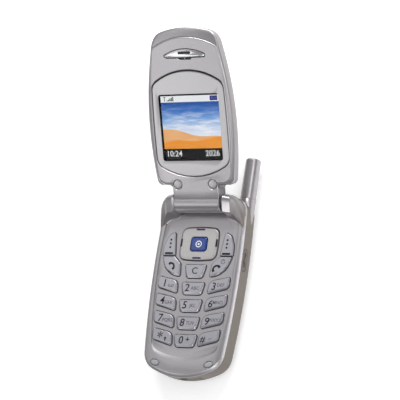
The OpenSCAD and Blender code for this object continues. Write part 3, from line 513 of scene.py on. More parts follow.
def makeFrontHousing():
    f = frontShell
    z, t = phone["seamZ"], phone["baseT"]
    wall = ((2.4, z), (0.14, z), (0.0, z + 0.14), (0.0, t - f["rimDrop"] - 0.05),
            (0.05, t - f["rimDrop"] + 0.06), (f["rimWidth"] - 0.1, t - 0.05), (f["rimWidth"] + 0.15, t))
    shell = raiseRings("frontHousing", [level(planOutline(basePlan, inset), up) for inset, up in wall], onBase)
    sunk = ((deckLow, 0.0, phone["deckZ"]), (deckLow, -0.12, phone["deckZ"] + 0.05), (deckPlan, 0.1, t - 0.03),
            (deckPlan, -0.1, t + 0.02), (deckPlan, -0.1, t + 2))
    deck = raiseRings("deck", [level(planOutline(*row[:2]), row[2]) for row in sunk], onBase, angle=0)
    combine(shell, [deck])
    ears = [makeEar(1), makeEar(-1)]
    combine(shell, ears, "UNION")
    cutters = [flare(lambda g, n=n: keyOutline(n, keySizes["gap"] + g), z - 1, phone["deckZ"], f["lip"], onBase)
               for n in keyShapes]
    cutters.append(flare(lambda g: planOutline(navPlan, -keySizes["gap"] - 0.15 - g, 6), z - 1, phone["deckZ"],
                         f["lip"], onBase))
    cutters += [flare(lambda g, side=side: tiltedOval(side, -0.24 - g), bumperSizes["low"] - 0.05,
                      phone["deckZ"] + 0.06, 0.14, onBase) for side in (1, -1)]
    for r, x0, x1 in ((4.55, -11.65, 11.65), (2.25, 10.5, 14.95), (2.22, -14.75, -10.5)):
        cutters.append(crossBar(roundAcross(0, phone["hingeZ"], r, 64), x0, x1, onBase))
    combine(shell, cutters)
    smooth(shell, 26)
    return shell


# each section across an ear: x, back v, shoulder z, top v, top z, brow v, brow z, foot v
earShape = {"low": 11.3, "sections": (
    (11.65, -3.5, 16.9, -0.9, 20.4, 3.2, 18.2, 4.5), (12.7, -4.2, 16.9, -1.2, 21.1, 4.3, 18.9, 5.6),
    (14.3, -4.15, 16.9, -1.1, 20.62, 4.35, 18.36, 6.2), (15.95, -3.8, 16.7, -0.9, 20.1, 4.4, 17.8, 7.0),
    (16.25, -3.65, 16.5, -0.85, 19.72, 4.55, 17.3, 7.2), (17.3, -3.2, 16.1, -0.45, 19.2, 5.4, 15.8, 7.9),
    (18.4, -2.4, 15.5, 0.3, 18.3, 6.8, 14.3, 8.7), (19.4, -1.2, 14.7, 1.3, 17.2, 8.2, 13.4, 9.5),
    (20.2, 0.1, 13.8, 2.6, 15.9, 9.5, 12.75, 10.3), (20.8, 1.6, 13.0, 4.2, 14.5, 10.4, 12.35, 11.0),
    (21.1, 4.2, 12.3, 6.2, 13.0, 11.0, 12.1, 11.5))}


def earSection(side, x, back, shoulder, topV, topZ, browV, browZ, foot):
    deck, low = phone["deckZ"], earShape["low"]
    points = [(back, low), (back, low + 0.5 * (shoulder - low))]
    for d in range(0, 91, 10):
        a = radians(d)
        points.append((topV - (topV - back) * cos(a), shoulder + (topZ - shoulder) * sin(a)))
    for i in range(1, 5):
        t = i / 4
        points.append((topV + (browV - topV) * t, topZ + (browZ - topZ) * t + 0.12 * sin(pi * t)))
    floor = min(deck, browZ - 0.05)
    for d in range(10, 91, 10):
        a = radians(d)
        reach = (foot - browV - 0.12) * (1 - cos(a))
        points.append((browV + 0.12 + reach, floor + (browZ - floor) * (1 - sin(a))))
    points.append((foot, low))
    return [(side * x, v, z) for v, z in points]


def makeEar(side):
    return raiseRings("ear", [earSection(side, *row) for row in earShape["sections"]], onBase, 0)


front = makeFrontHousing()
front.data.materials.append(silverPaint)
front.data.materials.append(taupePaint)
for face in front.data.polygons:       # the ears' outer flanks carry the warm grey of the sides
    x, y, z = face.center / mm
    if z > phone["baseT"] + 0.1 and abs(x) > 16.0 and (face.normal.z > 0.2 or abs(face.normal.x) > 0.5):
        if face.normal.x * x > 0 and phone["hingeY"] - y < 4.4 + max(0, abs(x) - 16) * 1.55:
            face.material_index = 1
finishPiece(front, "base", ["front_housing"])
print("front housing made:", len(front.data.polygons), "faces")

rearShell = {"roundIn": 6.0, "roundUp": 4.8, "wall": 1.4, "topZ": 11.1, "floorZ": 5.95,
             "bay": (16.7, 9.8, 70.2, 5.2)}


def boxRings(x0, x1, v0, v1, z0, z1):
    ring = [(x0, v0), (x1, v0), (x1, v1), (x0, v1)]
    return [level(ring, z0), level(ring, z1)]


def alongV(x, z, r, v, n=32):
    return [(x + r * cos(2 * pi * i / n), v, z + r * sin(2 * pi * i / n)) for i in range(n)]


def roundedBack():
    # the rings of the back's edge, rounded from the flat face up to the walls; the battery cover shares them
    r = rearShell
    turns = [radians(9 * i) for i in range(11)]
    return [level(planOutline(basePlan, r["roundIn"] * (1 - sin(a))), r["roundUp"] * (1 - cos(a)))
            for a in turns]


def makeRearHousing():
    r = rearShell
    rings = roundedBack()
    rings += [level(planOutline(basePlan, inset), z) for inset, z in (
        (0.0, r["topZ"] - 0.14), (0.14, r["topZ"] - 0.01), (r["wall"], r["topZ"] - 0.01),
        (r["wall"], r["floorZ"]))]
    shell = raiseRings("rearHousing", rings, onBase)
    halfBay, v0, v1, top = r["bay"]
    cutters = [raiseRings("cutter", ring, onBase, 0) for ring in (
        boxRings(-halfBay, halfBay, v0, v1, -1, top),               # the battery bay
        boxRings(-6, 6, 11.5, 14.5, 4, 7),                          # its contacts
        boxRings(-9, 9, 48, 64, 4, 7),                              # the card holder
        boxRings(-5.7, 5.7, 3.1, 8.7, -1, 2.05),                    # the battery catch
        boxRings(-2.95, 2.95, 8, 10.2, 0.3, 2.05),                  # the catch's tongue
        boxRings(-7.2, 7.2, 69.7, 80, 5.1, 8.3))]                   # the system connector
    screwSpots = ((-10.4, 72.4), (10.4, 72.4), (-11, 4.6), (11, 4.6))
    cutters += [prism(ovalOutline(x, v, 1.7, 1.7), -1, 2.7, onBase) for x, v in screwSpots]
    cutters += [raiseRings("cutter", boxRings(x - 1.2, x + 1.2, -6, -3.4, 5, 5.8), onBase, 0)
                for x in (-4, 0, 4)]
    cutters.append(crossBar(slotOutline(10.4, 4.1, 23.6, 8.9), 20.93, 23, onBase))
    cutters.append(crossBar(slotOutline(14.5, 3.7, 23, 7.5), -23, -20, onBase))
    cutters.append(crossBar(roundAcross(23.6, 8.4, 1.37), 20.1, 22, onBase))
    port = prism([(8.4, 72), (8.4, 80), (-8.4, 80), (-8.4, 72)], 4.1, 9.05, onBase)
    cutters.append(combine(port, [prism(planOutline(basePlan, 0.85), 0, 12, onBase)]))
    combine(shell, cutters)
    smooth(shell, 30)
    return shell


rear = makeRearHousing()
rear.data.materials.append(taupePaint)
finishPiece(rear, "base", ["rear_housing"])
print("rear housing made:", len(rear.data.polygons), "faces")

antennaShape = {"x": 17.75, "z": 6.3, "seam": -4.9, "tip": -23.7, "r": 3.6, "tipR": 3.42, "dome": 0.7,
                "socket": ((-4.9, 3.6, 17.75), (-4.75, 3.72, 17.75), (-1, 3.7, 17.72), (3, 3.45, 17.85),
                           (6.5, 2.8, 18.45), (9, 1.9, 19.3), (10.6, 0.9, 20.3))}


def makeAntenna():
    a = antennaShape
    ends = [(a["seam"] - 0.08, a["r"] - 0.12), (a["seam"] - 0.2, a["r"])]
    ends += [(a["tip"] + a["dome"] + 0.5, a["tipR"]), (a["tip"] + a["dome"], a["tipR"])]
    ends += [(a["tip"] + a["dome"] * (1 - sin(t)), a["tipR"] - a["dome"] * (1 - cos(t)))
             for t in [radians(d) for d in (22, 45, 68, 90)]]
    ends += [(a["tip"], a["tipR"] - a["dome"] - 0.3), (a["tip"] + 0.3, a["tipR"] - a["dome"] - 0.5)]
    rings = [alongV(a["x"], a["z"], r, v) for v, r in ends]
    stub = raiseRings("antennaStub", rings, onBase, 40)
    stud = raiseRings("antennaStud", [alongV(a["x"], a["z"], 1.8, -5.5), alongV(a["x"], a["z"], 1.8, 3.9),
                                      alongV(a["x"], a["z"], 1.6, 4.1)], onBase, 40)
    return joinPieces([stub, stud], "antennaStub")


antenna = makeAntenna()
antenna.data.materials.append(silverPaint)
finishPiece(antenna, "base", ["antenna"])
socket = raiseRings("antennaSocket", [alongV(x, antennaShape["z"], r, v) for v, r, x in antennaShape["socket"]],
                    onBase, 40)
socket.data.materials.append(silverPaint)
finishPiece(socket, "base")


def softSlot(name, length, height, v, z, xs, lip=0.25):
    # xs runs from the back to the proud face; the face's edge is rounded by the lip
    inner, outer = xs
    sign = 1 if outer > inner else -1
    rings = [acrossX(slotOutline(length, height, v, z), inner),
             acrossX(slotOutline(length, height, v, z), outer - sign * lip)]
    rings += [acrossX(slotOutline(length - 2 * lip * (1 - cos(t)), height - 2 * lip * (1 - cos(t)), v, z),
                      outer - sign * lip * (1 - sin(t))) for t in [radians(d) for d in (30, 60, 90)]]
    return raiseRings(name, rings, onBase, 45)


jackCover = softSlot("jackCover", 10, 3.8, 23.6, 8.9, (20.98, 21.78), 0.16)
sunk = [slotOutline(6.6 + g, 1.7 + g, 23.6, 8.9) for g in (0, 0.24)]
sunkRings = [acrossX(sunk[0], 21.4), acrossX(sunk[0], 21.66), acrossX(sunk[1], 21.8), acrossX(sunk[1], 23)]
combine(jackCover, [raiseRings("cutter", sunkRings, onBase, 0)])
smooth(jackCover, 30)
pull = softSlot("pull", 2.6, 0.7, 23.6, 8.9, (21.3, 22.05), 0.15)
jackCover = joinPieces([jackCover, pull], "jackCover")
jackCover.data.materials.append(taupeRubber)
finishPiece(jackCover, "jack_cover", ["jack_cover"])
volume = joinPieces([softSlot("volumeKey", 14, 3.2, 23, 7.5, (-19.7, -22.45), 0.35),
                     softSlot("flange", 15.2, 4.0, 23, 7.5, (-19.17, -19.77), 0.1)], "volumeKey")
for v in (19.5, 26.5):                 # a raised bar near each end tells louder from softer by touch
    rib = softSlot("rib", 2.4, 0.5, v, 7.5, (-22.3, -22.47), 0.08)
    volume = joinPieces([volume, rib], "volumeKey")
volume.data.materials.append(taupePaint)
finishPiece(volume, "volume_key", ["volume_key"])
print("side pieces made")

selectShape = ([(4, 14.5), (-4, 14.5), (-4, 20.7), (4, 20.7)], (1.2, 1.2, 1.2, 1.2))
# what each key is printed with: text, size in mm, x, v from the hinge, slant, bold, ink
keyPrint = {"clear_key": (("C", 3.4, 0, 30.0, 0, 0.6, "black"),)}
printedRows = (("123", (-14.3, -2.6, 10.5)), ("456", (-14.2, -2.6, 10.1)), ("789", (-13.9, -2.6, 9.6)),
               ("*0#", (-12.9, -1.9, 8.8)))
keyLetters = (("key_2", "ABC", 1.5, 37.9), ("key_3", "DEF", 14.0, 36.3), ("key_4", "GHI", -10.9, 44.6),
              ("key_5", "JKL", 1.5, 45.8), ("key_6", "MNO", 13.8, 44.2), ("key_7", "PQRS", -10.1, 52.6),
              ("key_8", "TUV", 1.5, 53.7), ("key_9", "WXYZ", 13.5, 52.1))
for row, (words, places) in enumerate(printedRows):
    for word, x, dv in zip(words, places, (0.0, 1.9, 1.1)):
        name = {"*": "key_star", "#": "key_hash"}.get(word, "key_" + word)
        size, drop = {"*": (5.0, 0.9), "#": (3.4, 0.2)}.get(word, (3.8, 0.0))
        keyPrint[name] = ((word, size, x, 35.9 + keySizes["rowPitch"] * row + dv + drop, 0.12, 1, "black"),)
for name, word, x, v in keyLetters:
    keyPrint[name] += ((word, 1.75, x, v, 0, 0.5, "grey"),)
keyPrint["key_0"] += (("+", 3.0, 1.5, 61.2, 0, 1, "black"),)


def printText(body, size, x, v, slant, bold, ink, place=onBase, z=None):
    z = keySizes["top"] if z is None else z
    bpy.ops.object.select_all(action="DESELECT")
    bpy.ops.object.text_add()
    text = bpy.context.active_object
    text.data.body = body
    text.data.size = size * 1.25
    text.data.shear = slant
    text.data.offset = 0.05 * bold
    text.data.align_x, text.data.align_y = "CENTER", "CENTER"
    text.data.resolution_u = 3
    text.data.extrude = 0.02
    bpy.ops.object.convert(target="MESH")
    text = bpy.context.active_object
    for vert in text.data.vertices:
        a, b, c = vert.co
        vert.co = place(x + a, v - b if place == onBase else v + b, z + c)
    text.data.materials.clear()
    text.data.materials.append(inks[ink])
    return text


def printShape(outline, ink):
    mark = prism(outline, keySizes["top"] - 0.02, keySizes["top"] + 0.02, onBase, "mark")
    mark.data.materials.append(inks[ink])
    return mark


def handsetOutline(x, v, turn, size=1.0):
    # a curved bar with two wider ends, as on any call key
    points = [(-2.05, 0.4), (-2.0, -0.6)]
    points += [(1.95 * cos(radians(a)), 0.1 + 1.75 * sin(radians(a))) for a in range(214, 327, 14)]
    points += [(2.0, -0.6), (2.05, 0.4), (1.0, 0.5), (0.9, -0.4)]
    points += [(0.9 * cos(radians(a)), -0.35 + 0.5 * sin(radians(a))) for a in range(325, 214, -14)]
    points += [(-0.9, -0.4), (-1.0, 0.5)]
    c, s = cos(radians(turn)), sin(radians(turn))
    return [(x + size * (a * c - b * s), v + size * (a * s + b * c)) for a, b in points]


def ringMark(x, v, r, width, ink):
    outer = printShape(ovalOutline(x, v, r, r), ink)
    return combine(outer, [prism(ovalOutline(x, v, r - width, r - width), 12.9, 13.3, onBase)])


def barMark(x0, x1, v0, v1, ink):
    return printShape([(x0, v0), (x0, v1), (x1, v1), (x1, v0)], ink)


def makeKeyCap(name):
    # narrow bevel all round, with the wide sloping one of the photograph along the lower edge
    s = keySizes
    ring = keyOutline(name)
    vs = [v for _, v in ring]
    low, high = max(vs), min(vs)
    cx = sum(x for x, _ in ring) / len(ring)
    wide = 0.1 if name.startswith("soft") else 1.0

    def slope(v):
        t = max(0.0, min(1.0, (v - (high + 0.55 * (low - high))) / (0.42 * (low - high))))
        return wide * t * t * (3 - 2 * t)

    def capRing(grow, z, drop=0.0, reach=0.0):
        out = []
        for x, v in keyOutline(name, -grow):
            t = slope(v)
            out.append((x - (x - cx) * 0.02 * reach * t, v - reach * t, z - drop * t))
        return out

    rings = [capRing(0, s["floor"]), capRing(0, s["top"] - s["round"], 0.22),
             capRing(0.09, s["top"] - 0.19, 0.24), capRing(0.24, s["top"] - 0.05, 0.1, 0.5),
             capRing(0.36, s["top"], 0.0, 0.62)]
    top = rings[-1]
    ax, av = sum(p[0] for p in top) / len(top), sum(p[1] for p in top) / len(top)
    rings.append([(ax + (x - ax) * 0.93, av + (v - av) * 0.93, z) for x, v, z in top])
    cap = raiseRings(name.replace("_", "") + "Cap", rings, onBase, 40)
    cap.data.materials.append(keyPaint)
    return cap


def keyMarks(name):
    side = keyShapes[name][2]
    marks = [printText(*row) for row in keyPrint.get(name, ())]
    if name.startswith("soft"):            # three dots over a bar
        marks += [printShape(ovalOutline(side * 14.2, v, 0.5, 0.5, 16), "black") for v in (15.7, 17.45, 19.2)]
        marks.append(barMark(side * 14.4 - 2, side * 14.4 + 2, 21.54, 22.46, "black"))
    if name == "send_key":
        marks.append(printShape(handsetOutline(-12.2, 27.9, 48), "black"))
    if name == "end_key":                  # a handset and the power sign
        marks.append(printShape(handsetOutline(10.6, 28.9, 326, 1.1), "black"))
        marks.append(ringMark(13.5, 25.6, 1.12, 0.3, "grey"))
        marks.append(barMark(13.36, 13.64, 24.5, 25.6, "grey"))
    if name == "key_1":                    # two rings on a bar: stored messages
        marks += [ringMark(x, 36.8, 0.62, 0.22, "grey") for x in (-11.8, -10.1)]
        marks.append(barMark(-11.8, -10.1, 37.2, 37.42, "grey"))
    if name == "key_star":                 # an upward arrow: capital letters
        arrow = ((-0.28, 2.0), (-0.28, 0.95), (-0.85, 0.95), (0, 0), (0.85, 0.95), (0.28, 0.95), (0.28, 2.0))
        marks.append(printShape([(-9.8 + a, 60.0 + b) for a, b in arrow], "black"))
    if name == "key_hash":                 # a short stroke: the space key
        marks.append(printShape([(11.6, 60.5), (11.6, 60.8), (13.2, 60.4), (13.2, 60.1)], "grey"))
    return marks


for name in keyShapes:
    cap = makeKeyCap(name)
    cap = joinPieces([cap] + keyMarks(name), cap.name)
    finishPiece(cap, name, [name])
print("keys made")

navSizes = {"under": 11.0, "top": 12.9, "round": 0.55}
# the slots in the plate and what fills them: x, v, half width, half length, filling
navMarks = ((0, 10.85, 2.2, 0.42, navyInk), (-0.2, 24.0, 2.2, 0.42, navyInk),
            (-8.75, 17.0, 0.42, 1.9, blackInk), (8.75, 17.0, 0.42, 1.9, blackInk))


def makeNavPlate():
    n = navSizes
    steps = [(0.0, n["under"]), (0.0, n["top"] - n["round"])]
    turns = [radians(a) for a in (22, 45, 68, 90)]
    steps += [(n["round"] * (1 - cos(a)), n["top"] - n["round"] * (1 - sin(a))) for a in turns]
    steps.append((1.4, n["top"]))
    plate = raiseRings("navPlate", [level(planOutline(navPlan, g, 6), z) for g, z in steps], onBase, 40)
    hole = flare(lambda g: softOutline(*selectShape, 0.3 + g), 10, n["top"], 0.16, onBase)
    slots = [prism(slotted(row), n["top"] - 0.3, 14, onBase) for row in navMarks]
    combine(plate, [hole] + slots)
    smooth(plate, 40)
    plate.data.materials.append(navPaint)
    fills = []
    for row in navMarks:
        fill = prism(slotted(row), n["top"] - 0.4, n["top"] - 0.12, onBase, "fill")
        fill.data.materials.append(row[4])
        fills.append(fill)
    return joinPieces([plate] + fills, "navPlate")


def slotted(row):
    x, v, rx, rv = row[:4]
    corners = [(x + rx, v - rv), (x - rx, v - rv), (x - rx, v + rv), (x + rx, v + rv)]
    return softOutline(corners, (min(rx, rv) * 0.9,) * 4, 0.0, 4)


finishPiece(makeNavPlate(), "nav_key", ["nav_key"])


def makeSelectKey():
    top = phone["keyTop"]
    steps = [(0.0, 10.3), (0.0, top - 0.4), (0.06, top - 0.2), (0.22, top - 0.06), (0.5, top), (0.9, top)]
    cap = raiseRings("selectCap", [level(softOutline(*selectShape, -g), z) for g, z in steps], onBase, 50)
    cap.data.materials.append(blueAcrylic)
    steps = ((0.5, 10.15), (0.5, 10.45), (-0.05, 10.45))
    collar = raiseRings("collar", [level(softOutline(*selectShape, g), z) for g, z in steps], onBase, 30)
    collar.data.materials.append(blueAcrylic)
    ring = ringMark(0, 17.6, 1.55, 0.42, "white")
    dot = printShape(ovalOutline(0, 17.6, 0.5, 0.5, 20), "white")
    return joinPieces([cap, collar, ring, dot], "selectCap")


finishPiece(makeSelectKey(), "select_key", ["select_key"])
print("navigation plate made")


def makeBumpers():
    low, top = bumperSizes["low"], bumperSizes["top"]
    steps = ((0.0, low), (0.0, top - 0.45), (0.1, top - 0.2), (0.35, top - 0.05), (0.7, top))
    halves = []
    for side in (1, -1):
        rings = [level(tiltedOval(side, shrink), z) for shrink, z in steps]
        halves.append(raiseRings("chinBumpers", rings, onBase, 50))
    bumpers = joinPieces(halves, "chinBumpers")
    bumpers.data.materials.append(paleRubber)
    return bumpers


finishPiece(makeBumpers(), "base", ["chin_bumpers"])

lidPlan = (phone["lidW"] / 2, 155, 34.5, phone["lidLen"], 42, 7, 8.6, flat, 2.5)
browPlan = (19.64, 200, 34.5, 74.6, 31, 3, 9.2, flat, 4.6)
lensPlan = (18.1, 420, 33, 59.3, 29, 4.5, 12.7, 31, 5)
recessPlan = (18.42, 420, 33, 60.1, 29.4, 4.9, 12.35, 31, 5.3)
trimPlan = (10, 1.2, 66.3, 69, 22, 0.5, 65.4, flat, 0.5)
outerPlan = (13, 60, 40, 47, 60, 4, 33, 60, 4)
lidShape = {"neckX": phone["barrelW"] / 2, "neckV": 2.4, "backZ": -3.7, "wall": 1.0, "recessZ": 2.45,
            "capX": 8.8, "capV": 9.1,
            "window": ((15, 49.3), (-15, 49.3), (-15, 19.6), (15, 19.6)),
            # from the lid's edge to the brow and inward: share of the way, inset, height
            "face": ((0, 0.1, 1.92), (0, 0, 2.02), (0, 0, 2.2), (0.08, 0, 2.52), (0.35, 0, 2.98),
                     (0.7, 0, 3.27), (0.96, 0, 3.42), (1, 0, 3.36), (1, 0.12, 3.2), (1, 0.28, 3.22),
                     (1, 0.52, 3.44), (1, 0.7, 3.5), (1, 0.9, 3.5)),
            # the notch under the earpiece ring, its floor painted black as painted shade
            "notch": ((4.3, 65.6), (-4.3, 65.6), (-2.7, 64.35), (2.7, 64.35))}


def softBox(name, x0, x1, v0, v1, z0, z1, bevel, place, segments=2):
    box = raiseRings(name, boxRings(x0, x1, v0, v1, z0, z1), place, 0)
    applyModifier(box, "BEVEL", width=bevel * mm, segments=segments, limit_method="ANGLE")
    smooth(box, 40)
    return box


lidUp = Vector((0, -sin(phone["lift"]), cos(phone["lift"])))


def lidHeight(point):
    # height of a place over the lid's own plane, in mm
    p = point / mm
    return -(p.y - phone["hingeY"]) * sin(phone["lift"]) + (p.z - phone["hingeZ"]) * cos(phone["lift"])


def lidReach(point):
    # distance of a place from the hinge along the lid, in mm
    p = point / mm
    return (p.y - phone["hingeY"]) * cos(phone["lift"]) + (p.z - phone["hingeZ"]) * sin(phone["lift"])


def makeFlipBezel():
    s = lidShape
    rings = [level(blendOutline(lidPlan, browPlan, t, inset), z) for t, inset, z in s["face"]]
    bezel = raiseRings("flipBezel", rings, onLid)
    neck = [(s["neckX"], 12.5), (-s["neckX"], 12.5), (-s["neckX"], s["neckV"]), (s["neckX"], s["neckV"])]
    steps = ((0, 1.905), (0, 3.3), (0.07, 3.43), (0.24, 3.504))
    rings = []
    for g, z in steps:
        rings.append(level([(x - g * (1 if x > 0 else -1), v - g * (1 if v > 5 else -1)) for x, v in neck], z))
    combine(bezel, [raiseRings("neck", rings, onLid, 0)], "UNION")
    cutters = [flare(lambda g: planOutline(recessPlan, -g), s["recessZ"], 3.53, 0.22, onLid),
               raiseRings("cutter", boxRings(-15.5, 15.5, 19.1, 49.8, 1, 3), onLid, 0),
               flare(lambda g: planOutline(trimPlan, -0.33 - g), 2.8, 3.52, 0.12, onLid),
               flare(lambda g: softOutline(s["notch"], (0.3, 0.3, 0.6, 0.6), g), 2.9, 3.52, 0.12, onLid)]
    cutters += [flare(lambda g, x=x: ovalOutline(x, s["capV"], 2.26 + g, 2.26 + g, 36), 2.72, 3.53, 0.24, onLid)
                for x in (-s["capX"], s["capX"])]
    combine(bezel, cutters)
    smooth(bezel, 24)
    bezel.data.materials.append(silverPaint)
    bezel.data.materials.append(blackNylonAndShade)
    for face in bezel.data.polygons:       # the floors of the recesses are painted black: painted shade in the gaps round the lens, the earpiece ring and its notch
        offFloor = min(abs(lidHeight(face.center) - floor) for floor in (s["recessZ"], 2.8, 2.9))
        if offFloor < 0.02 and abs(face.normal.dot(lidUp)) > 0.99:
            face.material_index = 1
    steps = ((0.34, 2.85), (0.34, 3.3), (0.2, 3.42))
    pin = raiseRings("pin", [level(ovalOutline(0, 65.1, r, r, 16), z) for r, z in steps], onLid, 50)
    pin.data.materials.append(silverPaint)
    return joinPieces([bezel, pin], "flipBezel")


finishPiece(makeFlipBezel(), "lid", ["flip_bezel"])
print("lid's inner face made")


def makeLens():
    s = lidShape
    steps = ((0.02, 2.5), (0.02, 3.25), (0.05, 3.31), (0.14, 3.35), (0.5, 3.35))
    lens = raiseRings("displayLens", [level(planOutline(lensPlan, g), z) for g, z in steps], onLid)
    combine(lens, [flare(lambda g: softOutline(s["window"], (1.2,) * 4, g), 2.0, 3.35, 0.1, onLid)])
    smooth(lens, 30)
    lens.data.materials.append(lensPrint)
    lens.data.materials.append(blackNylonAndShade)
    for face in lens.data.polygons:        # the window's cut edges are black
        upright = abs(face.normal.dot(lidUp)) < 0.5
        if upright and abs(face.center.x) < 15.2 * mm and 19.4 < lidReach(face.center) < 49.5:
            face.material_index = 1
    return lens


finishPiece(makeLens(), "lid", ["display_lens"])
pane = raiseRings("windowPane", [level(softOutline(lidShape["window"], (1.2,) * 4, -g), z)
                                 for g, z in ((0.02, 2.7), (0.02, 3.2), (0.08, 3.26))], onLid)
pane.data.materials.append(clearAcrylic)
finishPiece(pane, "lid")

screen = {"x0": -14.4, "x1": 14.5, "bottom": 25.0, "bar": 45.7, "top": 48.5, "z": 2.3}


def screenPlate(x0, x1, v0, v1, z, material):
    plate = raiseRings("plate", boxRings(x0, x1, v0, v1, screen["z"], z), onLid, 0)
    plate.data.materials.append(material)
    layer = plate.data.uv_layers.new(name="screen")
    for loop in plate.data.loops:
        spot = plate.data.vertices[loop.vertex_index].co
        layer.data[loop.index].uv = ((spot.x / mm - x0) / (x1 - x0), (lidReach(spot) - v0) / (v1 - v0))
    return plate


def makeScreen():
    s = screen
    body = softBox("screenPicture", -16.45, 16.45, 17.15, 52.25, -0.3, 1.83, 0.1, onLid)
    glass = softBox("glass", -15.3, 15.3, 19.3, 49.6, 1.7, s["z"], 0.06, onLid)
    for part in (body, glass):
        part.data.materials.append(maskBlack)
    parts = [body, glass, screenPlate(s["x0"], s["x1"], s["bottom"], s["bar"], 2.33, wallpaper),
             screenPlate(s["x0"], s["x1"], s["bar"], s["top"], 2.33, statusWhite)]
    for i in range(5):                     # rising signal bars and their mast
        x = -11.3 + 0.72 * i
        parts.append(screenPlate(x, x + 0.5, 46.2, 46.6 + 0.38 * i, 2.35, maskBlack))
    parts.append(screenPlate(-12.6, -12.3, 46.2, 48.1, 2.35, maskBlack))
    parts.append(screenPlate(-13.1, -11.8, 47.9, 48.15, 2.35, maskBlack))
    parts.append(screenPlate(10.3, 14.1, 46.1, 48.2, 2.34, maskBlack))
    for i in range(3):
        parts.append(screenPlate(10.7 + 1.1 * i, 11.5 + 1.1 * i, 46.5, 47.8, 2.36, statusBlue))
    for body, x in (("10:24", -9.6), ("2026", 9.6)):
        word = printText(body, 2.9, x, 22.7, 0, 0.35, "white", onLid, 2.37)
        word.data.materials[0] = statusWhite
        parts.append(word)
    return joinPieces(parts, "screenPicture")


finishPiece(makeScreen(), "lid", ["display_module"])
print("display made")


def makeTrim():
    steps = ((0.0, 2.84), (0.0, 3.44), (0.05, 3.53), (0.16, 3.59))
    trim = raiseRings("earpieceTrim", [level(planOutline(trimPlan, g), z) for g, z in steps], onLid, 30)
    slot = slotOutline(6.4, 1.2, 0, 67.45)
    combine(trim, [prism(slot, 2.95, 5, onLid)])
    smooth(trim, 30)
    trim.data.materials.append(brightPlate)
    trim.data.materials.append(blackNylonAndShade)
    for face in trim.data.polygons:
        if abs(lidHeight(face.center) - 2.95) < 0.02:
            face.material_index = 1
    return trim


finishPiece(makeTrim(), "lid", ["earpiece_trim"])


def makeCaps():
    steps = ((2.02, 2.74), (2.02, 3.36), (1.95, 3.45), (1.82, 3.49), (0.6, 3.51))
    caps = []
    for x in (-lidShape["capX"], lidShape["capX"]):
        rings = [level(ovalOutline(x, lidShape["capV"], r, r, 36), z) for r, z in steps]
        caps.append(raiseRings("cap", rings, onLid, 50))
    caps = joinPieces(caps, "screwCaps")
    caps.data.materials.append(silverPaint)
    return caps


finishPiece(makeCaps(), "lid", ["screw_caps"])


def makeFlipCover():
    s = lidShape
    seam, back, wall = phone["lidSeam"], s["backZ"], s["wall"]
    rings = []
    for i in range(11):
        a = radians(9 * i)
        rings.append(level(planOutline(lidPlan, 4.4 * (1 - sin(a))), back + 3.6 * (1 - cos(a))))
    rings += [level(planOutline(lidPlan, 0), seam - 0.14), level(planOutline(lidPlan, 0.14), seam - 0.01),
              level(planOutline(lidPlan, wall), seam - 0.01)]
    for i in range(9, -1, -1):
        a = radians(9 * i)
        rings.append(level(planOutline(lidPlan, wall + 3.4 * (1 - sin(a))), back + wall + 2.6 * (1 - cos(a))))
    cover = raiseRings("flipCover", rings, onLid)
    # a web with a round hollow fills the corner on each side of the neck
    web = [(s["neckX"] - 0.3, 9.6), (s["neckX"] - 0.3, 5.6)]
    web += [(s["neckX"] + 3.4 - 3.4 * cos(radians(a)), 5.4 + 3.4 * sin(radians(a))) for a in range(0, 91, 10)]
    web.append((s["neckX"] + 3.4, 9.6))
    fills = [prism(ring, -2.5, seam - 0.02, onLid, "fill") for ring in (web, flipX(web))]
    fills.append(softBox("neckBlock", -s["neckX"], s["neckX"], 0.5, 12, -3.5, seam - 0.01, 0.25, onLid))
    combine(cover, fills, "UNION")
    seat = ((-0.3, -5), (-0.3, -3.7), (-0.1, -3.5), (-0.1, -3.1))
    cutters = [prism(planOutline(outerPlan, 1.2), -5, -2, onLid),
               raiseRings("cutter", [level(planOutline(outerPlan, g), z) for g, z in seat], onLid, 0),
               crossBar(roundAcross(0, 0, phone["barrelR"] - 0.05, 64), -12, 12, onLid)]
    combine(cover, cutters)
    smooth(cover, 30)
    cover.data.materials.append(taupePaint)
    return cover


finishPiece(makeFlipCover(), "lid", ["flip_cover"])


def makeBarrel():
    # the hinge barrel, with the two fine creases where the bezel's neck runs onto it
    creases = (degrees(atan2(1.55, 3.9)), degrees(atan2(2.35, 3.48)))
    profile = []
    for i in range(180):
        a = i * 2.0
        near = min(abs((a - c + 180) % 360 - 180) for c in creases)
        profile.append((a, phone["barrelR"] - 0.16 * max(0.0, 1 - near / 2.5)))
    end = phone["barrelW"] / 2
    rings = [acrossX([(r * g * sin(radians(a)), r * g * cos(radians(a))) for a, r in profile], x)
             for x, g in ((-end, 0.93), (0.3 - end, 1.0), (end - 0.3, 1.0), (end, 0.93))]
    barrel = raiseRings("hingeBarrel", rings, onLid)
    bores = [crossBar(roundAcross(0, 0, r), x0, x1, onLid)
             for r, x0, x1 in ((2.75, 0.1, 12), (2.25, -12, -7.4), (1.5, -8, -0.7))]
    combine(barrel, bores)
    smooth(barrel, 30)
    barrel.data.materials.append(silverPaint)
    return barrel


finishPiece(makeBarrel(), "lid")
steps = ((0.02, -3.12), (0.02, -3.55), (0.06, -3.64), (0.2, -3.69))
outer = raiseRings("outerLens", [level(planOutline(outerPlan, g), z) for g, z in steps], onLid, 30)
outer.data.materials.append(smokedAcrylic)
finishPiece(outer, "lid", ["outer_lens"])
print("lid's back made")


